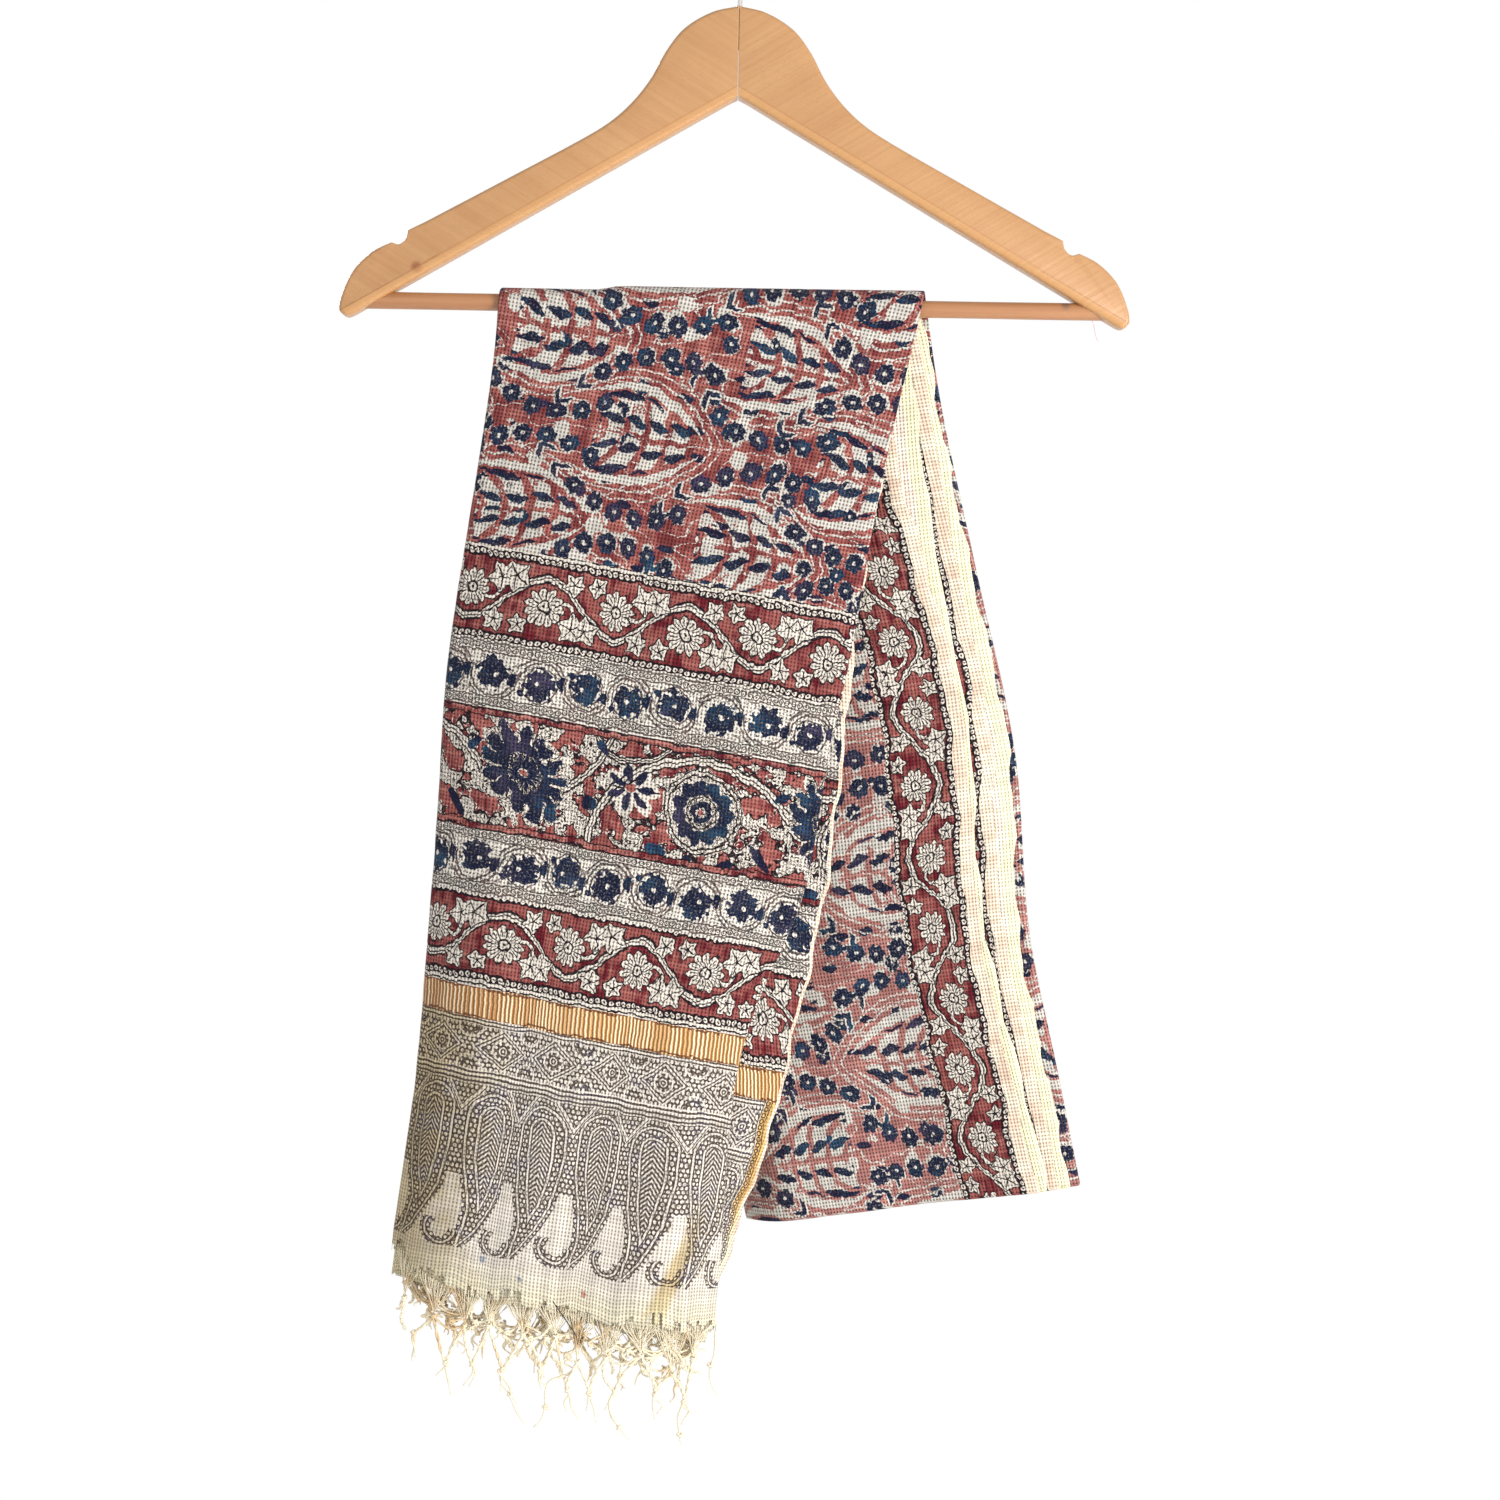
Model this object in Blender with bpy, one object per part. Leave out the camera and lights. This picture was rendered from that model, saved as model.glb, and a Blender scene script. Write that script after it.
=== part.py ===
"""A kalamkari dupatta hung over the bar of a wooden clothes hanger.

The dupatta is a long printed cotton cloth with knotted fringes at both ends. It is folded
end to end, then in half and in half again across its width, so eight layers lie one on
another, and the bundle hangs askew over the trouser bar: the front panel carries the two
fringed ends and swings to the left, the back panel ends in the lengthwise fold and swings
to the right. The hanger has two flat arms, a round bar let into their tips and a wire hook.

Units are metres and +Z is up. -Y is the side that shows the fringed panel. The origin is
the point where the crown of the hook rests on a rail.
"""

import math

import bmesh
import bpy
import numpy as np
from mathutils import Matrix, Vector

MM = 0.001
GAP = 0.3 * MM

# Hook
WIRE_DIAMETER = 3.4 * MM
CROOK_RADIUS = 18.0 * MM  # inside the wire
CROOK_STARTS = -52.0  # degrees from level, where the wire has swung out of the shank
CROOK_SWEEP = 245.0  # degrees from there to the wire's end
CROOK_STEPS = 22
SHANK_INTO_HEAD = 24.0 * MM
SHANK_ABOVE_HEAD = 12.0 * MM
SWING_REACH = 11.0 * MM  # how far the wire keeps its heading at both ends of the swing
SWING_STEPS = 6
HEAD_BELOW_CROWN = 70.0 * MM  # from the origin down to the top of the head

# Arms
ARM_THICKNESS = 14.0 * MM
ARM_ROUNDING = 2.2 * MM
SEAM = 0.3 * MM
# Upper outline of one arm, from the centre seam out to the tip and round under it.
ARM_OUTLINE = (
    # out_mm, below_head_mm
    (0.0, 0.0),
    (15.1, 3.6),
    (30.5, 12.9),
    (40.6, 25.6),
    (49.0, 41.2),
    (58.4, 53.9),
    (70.0, 65.0),
    (84.6, 74.7),
    (127.2, 98.3),
    (184.0, 129.4),
    (185.2, 134.2),
    (189.0, 137.4),
    (193.3, 136.4),
    (203.6, 141.2),
    (213.9, 151.0),
    (219.7, 162.4),
    (222.3, 174.1),
    (218.4, 177.6),
    (213.0, 175.7),
)
HEAD_DEPTH = 50.8 * MM  # of the seam, down to the point where the undersides meet

# Bar
BAR_DIAMETER = 9.6 * MM
BAR_BELOW_HEAD = 168.2 * MM
BAR_HALF_LENGTH = 215.7 * MM
BORE_CLEARANCE = 0.3 * MM
BORE_DEPTH = 40.0 * MM  # in from the bar's end, past the notch under the tip
BAR_SIDES = 24
SHANK_SIDES = 12

# Cloth
SHEET = 1.0 * MM
HALF_LENGTH = 1120.0 * MM  # from a hem to the lengthwise fold
QUARTER = 232.0 * MM  # one of the four widths that the cloth is folded into
PITCH = 1.4 * MM  # from one layer to the next on the bar
SPREAD = 0.6  # share by which the layers lie further apart at the two ends
SPREAD_WITHIN = 510.0 * MM  # of the bar, where they have spread in full
LAYERS = 8
INNER_RADIUS = 5.9 * MM  # of the innermost layer's middle, round the bar's axis
HANG_RADIUS = 7.6 * MM  # along which lengths over the bar are counted
STRIP = 8.0 * MM  # height of the fringe's backing
STRIP_GAP = 0.8 * MM  # between the backing and the hem
LEFT_AT_BAR = 564.0 * MM  # of cloth between the hem and the top of the bar, at the left fold
RIGHT_AT_BAR = 604.0 * MM  # the same at the right edge

# Where the folded bundle's two edges run, by the length of cloth from the hem.
EDGES = (
    # from_hem_mm, left_x_mm, right_x_mm
    (-60.0, -178.5, 4.0),
    (0.0, -177.3, 4.0),
    (60.0, -170.5, 14.5),
    (120.0, -163.5, 25.0),
    (180.0, -159.8, 36.0),
    (260.0, -155.0, 55.0),
    (340.0, -151.8, 65.0),
    (430.0, -141.5, 75.0),
    (520.0, -132.5, 90.0),
    (590.0, -127.5, 104.0),
    (660.0, -107.0, 115.0),
    (760.0, -77.0, 136.5),
    (870.0, -47.0, 161.0),
    (980.0, -16.5, 172.5),
    (1050.0, 2.0, 188.0),
    (1120.0, 18.0, 203.0),
)

# How the right-hand edges fan out, as each layer's reach past the bundle's own right edge.
# T is the half that ends outermost and U the other; 1 to 4 are the quarters of the width.
FAN = (
    # from_hem_mm, fold_2_3_mm, t1_mm, u1_mm, u4_mm, t4_mm
    (-60.0, -22.0, -4.0, -2.0, -1.0, 0.0),
    (0.0, -22.0, -4.0, -2.0, -1.0, 0.0),
    (150.0, -33.0, -5.0, -3.0, -1.0, 0.0),
    (260.0, -16.0, -5.0, -3.0, -1.0, 0.0),
    (330.0, -1.0, -6.0, -4.0, -2.0, -1.0),
    (450.0, 0.0, -9.0, -7.0, -4.0, -3.0),
    (590.0, 0.0, -13.0, -10.0, -5.0, -4.0),
    (700.0, 0.0, -21.0, -15.0, -6.0, -4.0),
    (860.0, 0.0, -30.0, -20.0, -9.0, -6.0),
    (1000.0, 0.0, -27.0, -16.0, -6.0, -3.0),
    (1120.0, 0.0, -23.0, -12.0, -5.0, -2.0),
)

# How far each panel's sides turn away from its flat middle, by the depth below the bar, and
# how far the two panels push each other apart. Each side turns about an upright line, the
# left one within TURN_LEFT and the right one within TURN_RIGHT, counted along the quarter
# from its left fold.
TURNS = (
    # below_bar_mm, front_left_deg, front_right_deg, back_left_deg, front_out_mm, back_out_mm
    (0.0, 0.0, 0.0, 0.0, 0.0, 0.0),
    (60.0, 5.0, 1.0, 6.0, 0.0, 0.5),
    (150.0, 14.0, 4.0, 20.0, 1.0, 5.0),
    (300.0, 24.0, 9.0, 38.0, 4.0, 15.0),
    (420.0, 30.0, 17.0, 50.0, 7.0, 24.0),
    (500.0, 34.0, 27.0, 56.0, 9.0, 30.0),
    (580.0, 38.0, 42.0, 58.0, 10.0, 32.0),
    (660.0, 38.0, 46.0, 58.0, 10.0, 32.0),
)
TURN_LEFT = (14.0 * MM, 52.0 * MM)  # where the left side's turn ends and the middle begins
TURN_RIGHT = (150.0 * MM, 188.0 * MM)
FLAT_MIDDLE = 92.0 * MM  # where along the quarter a panel lies square over the bar
BACK_PUSH_KEPT = 0.4  # share of the width, from the left, that is pushed out in full
BACK_PUSH_LOST = 0.8  # share of the push that the back panel's right edge lacks
RULER_STEPS = 58
# Soft uprights in the free panels.
RIPPLE = 1.6 * MM
RIPPLE_WIDTH = 74.0 * MM
RIPPLE_DRIFT = 0.106  # sideways for each length down
RIPPLE_GROWS = 300.0 * MM  # below the bar, where they have their full height
RIPPLE_SPAN = (40.0 * MM, 150.0 * MM)
RIPPLE_FADE = 30.0 * MM

# Fringe
STRANDS_IN_QUARTER = 18
STRAND_INSET = 5.0 * MM  # of the first and last strand from a quarter's ends
STRAND_UNEVEN = 0.14  # share by which a strand is longer or shorter than the rest
# One strand from its root down: loose warp gathers, is knotted, and ends in a tail.
STRAND = (
    # below_hem_mm, half_width_mm, half_thickness_mm, wander_mm
    (0.0, 3.0, 0.5, 0.0),
    (19.0, 1.1, 0.55, 1.2),
    (37.0, 1.5, 0.6, 2.4),
    (54.0, 0.6, 0.35, 3.4),
)

# Where a grid line of the cloth lies across a quarter, from the left fold. The last stretch
# ends at each layer's own right edge.
ACROSS = (0.0, 22.0, 44.0, 92.0, 140.0, 166.0, 194.0)
# Grid lines down each panel, as shares of the way from the bar's tangent to the end.
DOWN_FRONT = (0.0, 0.03, 0.1, 0.22, 0.36, 0.5, 0.64, 0.76, 0.86, 0.93, 1.0)
DOWN_BACK = (0.0, 0.03, 0.1, 0.22, 0.36, 0.52, 0.68, 0.84, 1.0)
STEPS_OVER_BAR = 6
STEPS_LEFT_FOLD = 4
STEPS_SMALL_FOLD = 3
STEPS_END_FOLD = 3


def clear_scene():
    for thing in list(bpy.data.objects):
        bpy.data.objects.remove(thing)


def material(name, colour, roughness, metallic=0.0):
    mat = bpy.data.materials.new(name)
    mat.use_nodes = True
    shader = mat.node_tree.nodes["Principled BSDF"]
    shader.inputs["Base Color"].default_value = (*colour, 1.0)
    shader.inputs["Roughness"].default_value = roughness
    shader.inputs["Metallic"].default_value = metallic
    return mat


def add_object(name, data, mat):
    thing = bpy.data.objects.new(name, data)
    data.materials.append(mat)
    bpy.context.scene.collection.objects.link(thing)
    return thing


def mesh_from(name, points, faces):
    mesh = bpy.data.meshes.new(name)
    mesh.from_pydata([tuple(p) for p in points], [], [tuple(f) for f in faces])
    mesh.validate()
    mesh.update()
    return mesh


def smooth_rows(rows, column, at):
    """One column of a table at the places `at`, along a smooth curve through its rows.

    The first column holds the places in millimetres. The slope at a row is the mean of the
    slopes beside it, and between two rows the curve is the cubic with those slopes.
    """
    places = np.array([row[0] for row in rows]) * MM
    values = np.array([row[column] for row in rows])
    slopes = np.gradient(values, places)
    at = np.clip(np.asarray(at, dtype=float), places[0], places[-1])
    low = np.clip(np.searchsorted(places, at, side="right") - 1, 0, len(places) - 2)
    width = places[low + 1] - places[low]
    t = (at - places[low]) / width
    start = values[low] * (1 + 2 * t) * (1 - t) ** 2 + values[low + 1] * t * t * (3 - 2 * t)
    bend = slopes[low] * t * (1 - t) ** 2 - slopes[low + 1] * t * t * (1 - t)
    return start + bend * width


def ease(t):
    """0 below 0, 1 above 1, and a smooth step between."""
    t = np.clip(t, 0.0, 1.0)
    return t * t * (3 - 2 * t)


def bar_height():
    return -(HEAD_BELOW_CROWN + BAR_BELOW_HEAD)


def fall(from_hem, at_bar, aside):
    """How far a length of cloth hangs past the bar's top, less what goes sideways."""
    length = at_bar - from_hem
    return np.sign(length) * np.sqrt(np.maximum(length**2 - aside**2, 0.0))


def turn_angle(across, below, front):
    """Heading of the level section through a panel: 0 in its flat middle.

    It is negative where the left side comes forward to the middle, and positive where the
    right side goes back from it.
    """
    left = np.radians(np.where(front, smooth_rows(TURNS, 1, below), smooth_rows(TURNS, 3, below)))
    right = np.where(front, np.radians(smooth_rows(TURNS, 2, below)), 0.0)
    before = 1 - ease((across - TURN_LEFT[0]) / (TURN_LEFT[1] - TURN_LEFT[0]))
    after = ease((across - TURN_RIGHT[0]) / (TURN_RIGHT[1] - TURN_RIGHT[0]))
    turns = 2 * math.pi / RIPPLE_WIDTH
    ripple = RIPPLE * turns * ease(below / RIPPLE_GROWS) * np.sin(turns * (across + RIPPLE_DRIFT * below))
    middle = ease((across - RIPPLE_SPAN[0]) / RIPPLE_FADE) * ease((RIPPLE_SPAN[1] - across) / RIPPLE_FADE)
    return right * after - left * before + ripple * middle


def section(across, below, front):
    """Sideways run and depth of a panel's level section at `across` from its left fold.

    Both are sums of the heading's cosine and sine over a fine ruler. Outside the quarter the
    section runs on straight. The depth is counted from the flat middle.
    """
    ruler = np.linspace(0.0, QUARTER, RULER_STEPS + 1)
    step = QUARTER / RULER_STEPS
    heading = turn_angle(ruler[None, :], below[:, None], front[:, None])

    def running_sum(slope):
        parts = (slope[:, 1:] + slope[:, :-1]) * step / 2
        return np.concatenate([np.zeros((len(below), 1)), np.cumsum(parts, axis=1)], axis=1)

    along = running_sum(np.cos(heading))
    back = running_sum(np.sin(heading))
    back -= back[:, [round(FLAT_MIDDLE / step)]]
    inside = np.clip(across, 0.0, QUARTER)
    cell = np.clip((inside / step).astype(int), 0, RULER_STEPS - 1)
    t = inside / step - cell
    every = np.arange(len(below))
    end = turn_angle(inside, below, front)
    past = across - inside
    x = along[every, cell] * (1 - t) + along[every, cell + 1] * t + past * np.cos(end)
    y = back[every, cell] * (1 - t) + back[every, cell + 1] * t + past * np.sin(end)
    return x / along[:, -1], y, end


def lift_of(layer, from_hem):
    """How far a layer's middle lies outside the innermost one, in metres."""
    away = np.abs(from_hem - (LEFT_AT_BAR + RIGHT_AT_BAR) / 2)
    return PITCH * (layer + (layer - (LAYERS - 1) / 2) * SPREAD * ease(away / SPREAD_WITHIN))


def hang(across, layer, from_hem, outward=0.0, down=0.0):
    """Points of the hung bundle, as an array of positions.

    across is counted from the bundle's left fold, layer from the innermost, and from_hem
    along the cloth. outward adds to the lift, and down lowers the point.
    """
    across, layer, from_hem, outward, down = np.broadcast_arrays(
        *(np.asarray(v, dtype=float) for v in (across, layer, from_hem, outward, down)))
    shape = across.shape
    across, layer, from_hem, outward, down = (
        v.ravel() for v in (across, layer, from_hem, outward, down))
    left_x = smooth_rows(EDGES, 1, from_hem) * MM
    right_x = smooth_rows(EDGES, 2, from_hem) * MM
    left_s = fall(from_hem, LEFT_AT_BAR, left_x - smooth_rows(EDGES, 1, LEFT_AT_BAR) * MM)
    right_s = fall(from_hem, RIGHT_AT_BAR, right_x - smooth_rows(EDGES, 2, RIGHT_AT_BAR) * MM)
    quarter_turn = HANG_RADIUS * math.pi / 2
    middle_s = left_s + across / QUARTER * (right_s - left_s)
    share, back, heading = section(across, np.maximum(np.abs(middle_s) - quarter_turn, 0.0), middle_s > 0)
    s = left_s + share * (right_s - left_s)
    below = np.maximum(np.abs(s) - quarter_turn, 0.0)
    wrap = np.clip(s / HANG_RADIUS, -math.pi / 2, math.pi / 2)
    pushed = 1 - BACK_PUSH_LOST * ease((share - BACK_PUSH_KEPT) / (1 - BACK_PUSH_KEPT))
    apart = np.where(s > 0, -smooth_rows(TURNS, 4, below), smooth_rows(TURNS, 5, below) * pushed) * MM
    lift = lift_of(layer, from_hem) + outward
    x = left_x + share * (right_x - left_x) + lift * np.sin(heading) * np.sin(wrap)
    y = back + apart - (INNER_RADIUS + lift * np.cos(heading)) * np.sin(wrap)
    z = bar_height() + (INNER_RADIUS + lift) * np.cos(wrap) - below - down
    return np.stack([x, y, z], axis=-1).reshape(*shape, 3)


def fold_arc(centre, start, end, steps, side):
    """A fold between two layers: reach past its line and layer number, without its ends."""
    rows = []
    radius = abs(end - start) / 2
    for k in range(1, steps):
        angle = math.pi * k / steps
        rows.append((side * radius * math.sin(angle), centre + (start - centre) * math.cos(angle)))
    return rows


def width_path(half):
    """One half's way through the stack, selvedge to selvedge.

    Each entry is a share of ACROSS or a reach, as (kind, value, layer): "grid" stands at a
    place of ACROSS, "end" at the named column of FAN, and "left" or "right" at a reach in
    pitches past that fold.
    """
    first, second, third, fourth = (0, 7, 4, 3) if half == "T" else (1, 6, 5, 2)
    selvedge_1, selvedge_4 = (2, 5) if half == "T" else (3, 4)
    path = [("end", selvedge_1, first)]
    path += [("grid", a, first) for a in reversed(ACROSS)]
    path += [("left", reach, n) for reach, n in fold_arc(3.5, first, second, STEPS_LEFT_FOLD, -1)]
    path += [("grid", a, second) for a in ACROSS]
    path += [("end", 1, second)]
    path += [("right", reach, n) for reach, n in fold_arc(5.5, second, third, STEPS_SMALL_FOLD, 1)]
    path += [("end", 1, third)]
    path += [("grid", a, third) for a in reversed(ACROSS)]
    path += [("left", reach, n) for reach, n in fold_arc(3.5, third, fourth, STEPS_SMALL_FOLD, -1)]
    path += [("grid", a, fourth) for a in ACROSS]
    path += [("end", selvedge_4, fourth)]
    return path


def across_of(entry, from_hem):
    kind, value, _ = entry
    pitch = lift_of(1.0, from_hem) - lift_of(0.0, from_hem)
    if kind == "grid":
        return np.full_like(from_hem, value * MM)
    if kind == "end":
        return QUARTER + smooth_rows(FAN, value, from_hem) * MM
    if kind == "left":
        return value * pitch
    return QUARTER + smooth_rows(FAN, 1, from_hem) * MM + value * pitch


def from_hem_rows(across, first):
    """Lengths from the hem along one grid line, from the hem over the bar to the fold.

    Each panel is shared out between its own end and the bar, so that the lines near the bar
    run along it.
    """
    at_bar = LEFT_AT_BAR + across / QUARTER * (RIGHT_AT_BAR - LEFT_AT_BAR)
    quarter_turn = HANG_RADIUS * math.pi / 2
    front = [(at_bar - quarter_turn) - share * (at_bar - quarter_turn - first) for share in reversed(DOWN_FRONT)]
    over = [at_bar - quarter_turn * (1 - 2 * k / STEPS_OVER_BAR) for k in range(1, STEPS_OVER_BAR)]
    back = [(at_bar + quarter_turn) + share * (HALF_LENGTH - at_bar - quarter_turn) for share in DOWN_BACK]
    return np.array(front + over + back)


def half_points(half, first):
    """Middle points of one half as rows (along the cloth) by columns (across it)."""
    columns = []
    for entry in width_path(half):
        nominal = {"grid": entry[1] * MM, "left": 0.0}.get(entry[0], QUARTER)
        from_hem = from_hem_rows(nominal, first)
        columns.append(hang(across_of(entry, from_hem), entry[2], from_hem))
    return np.stack(columns, axis=1)


def end_fold_points():
    """The rows between the two halves, round the lengthwise fold."""
    rows = []
    outer, inner = width_path("T"), width_path("U")
    from_hem = np.array([HALF_LENGTH])
    radius = (lift_of(1.0, from_hem) - lift_of(0.0, from_hem)) / 2
    for k in range(1, STEPS_END_FOLD):
        angle = math.pi * k / STEPS_END_FOLD
        share = (1 - math.cos(angle)) / 2
        row = []
        for a, b in zip(outer, inner):
            across = across_of(a, from_hem) * (1 - share) + across_of(b, from_hem) * share
            layer = a[2] * (1 - share) + b[2] * share
            row.append(hang(across, layer, from_hem, 0.0, radius * math.sin(angle))[0])
        rows.append(row)
    return np.array(rows)


def grid_normals(points):
    along = np.gradient(points, axis=0)
    over = np.gradient(points, axis=1)
    normals = np.cross(over, along)
    return normals / np.linalg.norm(normals, axis=-1, keepdims=True)


def thick_sheet(points, thickness, flips):
    """A grid of middle points as a closed sheet: both faces and the rim.

    flips says for each column and row whether its cell is split along the other diagonal,
    which keeps neighbouring layers parallel.
    """
    rows, columns = points.shape[:2]
    shift = grid_normals(points) * thickness / 2
    corners = np.concatenate([(points + shift).reshape(-1, 3), (points - shift).reshape(-1, 3)])
    below = rows * columns

    def at(i, j, side):
        return i * columns + j + side * below

    faces = []
    for i in range(rows - 1):
        for j in range(columns - 1):
            a, b, c, d = at(i, j, 0), at(i, j + 1, 0), at(i + 1, j + 1, 0), at(i + 1, j, 0)
            if flips[i, j]:
                cell = [(a, b, d), (b, c, d)]
            else:
                cell = [(a, b, c), (a, c, d)]
            faces += cell
            faces += [tuple(v + below for v in reversed(tri)) for tri in cell]
    for j in range(columns - 1):
        faces.append((at(0, j, 1), at(0, j + 1, 1), at(0, j + 1, 0), at(0, j, 0)))
        last = rows - 1
        faces.append((at(last, j, 0), at(last, j + 1, 0), at(last, j + 1, 1), at(last, j, 1)))
    for i in range(rows - 1):
        faces.append((at(i, 0, 0), at(i + 1, 0, 0), at(i + 1, 0, 1), at(i, 0, 1)))
        last = columns - 1
        faces.append((at(i, last, 1), at(i + 1, last, 1), at(i + 1, last, 0), at(i, last, 0)))
    return corners, faces


def outward_faces(mesh):
    shape = bmesh.new()
    shape.from_mesh(mesh)
    bmesh.ops.recalc_face_normals(shape, faces=shape.faces)
    if shape.calc_volume(signed=True) < 0:
        bmesh.ops.reverse_faces(shape, faces=shape.faces)
    shape.to_mesh(mesh)
    shape.free()


def cells_run_backward():
    """For each cell across the cloth, whether it runs from right to left."""
    straight = len(ACROSS)
    backward = np.zeros(len(width_path("T")) - 1, dtype=bool)
    backward[: straight + 1] = True
    third = straight + 1 + (STEPS_LEFT_FOLD - 1) + straight + 1 + (STEPS_SMALL_FOLD - 1)
    backward[third: third + straight + 1] = True
    return backward


def make_cloth():
    hem = STRIP + STRIP_GAP
    outer = half_points("T", hem)
    inner = half_points("U", hem)[::-1]
    points = np.concatenate([outer, end_fold_points(), inner])
    backward = cells_run_backward()
    reversed_rows = np.arange(len(points) - 1) >= len(outer)
    flips = backward[None, :] ^ reversed_rows[:, None]
    corners, faces = thick_sheet(points, SHEET, flips)
    mesh = mesh_from("dupatta_cloth", corners, faces)
    outward_faces(mesh)
    cloth = material("printed_cotton", (0.52, 0.20, 0.17), 0.9)
    return add_object("dupatta_cloth", mesh, cloth)


def quarters_of(half):
    """Column of FAN and layer of each quarter, in order."""
    if half == "T":
        return ((2, 0), (1, 7), (1, 4), (5, 3))
    return ((3, 1), (1, 6), (1, 5), (4, 2))


def reverse_line(line):
    """The same line walked from right to left, with each root starting at its right side."""
    turned = []
    for place in range(len(line) - 1, -1, -1):
        entry = line[place][0]
        strand = line[place - 1][1] if place > 0 else None
        turned.append((entry, strand))
    return turned


def strip_path(half):
    """The hem's way through the stack with a root and a space for each strand.

    Gives (entry, strand) pairs in order, strand being None, or the number of the strand
    whose root starts at that entry.
    """
    pieces = []
    half_root = STRAND[0][1] * MM
    for index, (column, layer) in enumerate(quarters_of(half)):
        usable = QUARTER + FAN[1][column] * MM - 2 * STRAND_INSET
        line = [(("grid", 0.0, layer), None)]
        for k in range(STRANDS_IN_QUARTER):
            spot = STRAND_INSET + usable * (k + 0.5) / STRANDS_IN_QUARTER
            line.append((("grid", (spot - half_root) / MM, layer), index * STRANDS_IN_QUARTER + k))
            line.append((("grid", (spot + half_root) / MM, layer), None))
        line.append((("end", column, layer), None))
        pieces.append(reverse_line(line) if index % 2 == 0 else line)
    return pieces


def fringe_line(half):
    """Every entry round the hem's path, with the folds between the quarters."""
    first, second, third, fourth = strip_path(half)
    layers = [layer for _, layer in quarters_of(half)]
    folds = (
        [("left", r, n) for r, n in fold_arc(3.5, layers[0], layers[1], STEPS_LEFT_FOLD, -1)],
        [("right", r, n) for r, n in fold_arc(5.5, layers[1], layers[2], STEPS_SMALL_FOLD, 1)],
        [("left", r, n) for r, n in fold_arc(3.5, layers[2], layers[3], STEPS_SMALL_FOLD, -1)],
    )
    line = list(first)
    for fold, quarter in zip(folds, (second, third, fourth)):
        line += [(entry, None) for entry in fold]
        line += quarter
    return line


def strand_rings(entry_a, entry_b, number):
    """Rings of four corners down one strand, each as outer and inner pairs.

    Sines of the strand's number, at speeds that don't repeat, make the row uneven.
    """
    layer = entry_a[2]
    centre = (entry_a[1] + entry_b[1]) / 2 * MM
    side = 1 if entry_b[1] > entry_a[1] else -1
    stray = math.sin(number * 2.4)
    longer = 1 + STRAND_UNEVEN * math.sin(number * 1.7 + layer)
    rings = []
    for below, half_width, half_thick, wander in STRAND[1:]:
        middle = centre + stray * wander * MM
        ring = []
        for sideways, outward in ((-1, 1), (1, 1), (1, -1), (-1, -1)):
            ring.append(hang(
                middle + side * sideways * half_width * MM, layer,
                -below * longer * MM, outward * half_thick * MM))
        rings.append(ring)
    return rings


def make_fringe(name, half):
    line = fringe_line(half)
    heights = np.array([STRIP, 0.0])
    points = np.stack([hang(across_of(e, heights), e[2], heights) for e, _ in line], axis=1)
    corners, faces = thick_sheet(points, SHEET, np.zeros((1, len(line) - 1), dtype=bool))
    corners = [Vector(c) for c in corners]
    columns = len(line)
    below = 2 * columns
    roots = {j: number for j, (_, number) in enumerate(line) if number is not None}
    kept = []
    for face in faces:
        is_lower_rim = len(face) == 4 and all(v % below >= columns for v in face)
        if not (is_lower_rim and min(v % columns for v in face) in roots):
            kept.append(face)
    for j, number in roots.items():
        entry_a, entry_b = line[j][0], line[j + 1][0]
        last = [columns + j, columns + j + 1, columns + j + 1 + below, columns + j + below]
        outer_first = corners[last[0]].y < corners[last[3]].y
        for ring in strand_rings(entry_a, entry_b, number):
            if not outer_first:
                ring = [ring[3], ring[2], ring[1], ring[0]]
            base = len(corners)
            corners += [Vector(p) for p in ring]
            new = [base, base + 1, base + 2, base + 3]
            for k in range(4):
                kept.append((last[k], last[(k + 1) % 4], new[(k + 1) % 4], new[k]))
            last = new
        kept.append(tuple(last))
    mesh = mesh_from(name, corners, kept)
    outward_faces(mesh)
    yarn = material(name + "_yarn", (0.72, 0.64, 0.46), 0.95)
    return add_object(name, mesh, yarn)


def cylinder(name, radius, length, sides, turn, place):
    shape = bmesh.new()
    bmesh.ops.create_cone(
        shape, cap_ends=True, segments=sides, radius1=radius, radius2=radius, depth=length,
        matrix=Matrix.Translation(place) @ turn)
    mesh = bpy.data.meshes.new(name)
    shape.to_mesh(mesh)
    shape.free()
    return mesh


def cutter(name, mesh):
    thing = bpy.data.objects.new(name, mesh)
    bpy.context.scene.collection.objects.link(thing)
    thing.hide_render = True
    thing.display_type = "WIRE"
    return thing


def shade(mesh, degrees):
    mesh.shade_smooth()
    mesh.set_sharp_from_angle(angle=math.radians(degrees))


def make_arm(name, side, beech):
    outline = [Vector((side * max(x * MM, SEAM / 2), 0, -HEAD_BELOW_CROWN - d * MM)) for x, d in ARM_OUTLINE]
    outline.append(Vector((side * SEAM / 2, 0, -HEAD_BELOW_CROWN - HEAD_DEPTH)))
    shape = bmesh.new()
    front = [shape.verts.new(p - Vector((0, ARM_THICKNESS / 2, 0))) for p in outline]
    face = shape.faces.new(front)
    grown = bmesh.ops.extrude_face_region(shape, geom=[face])
    back = [v for v in grown["geom"] if isinstance(v, bmesh.types.BMVert)]
    bmesh.ops.translate(shape, verts=back, vec=(0, ARM_THICKNESS, 0))
    bmesh.ops.recalc_face_normals(shape, faces=shape.faces)
    mesh = bpy.data.meshes.new(name)
    shape.to_mesh(mesh)
    shape.free()
    arm = add_object(name, mesh, beech)
    rounding = arm.modifiers.new("rounding", "BEVEL")
    rounding.width = ARM_ROUNDING
    rounding.segments = 2
    rounding.limit_method = "ANGLE"
    rounding.angle_limit = math.radians(60)
    return arm


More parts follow.
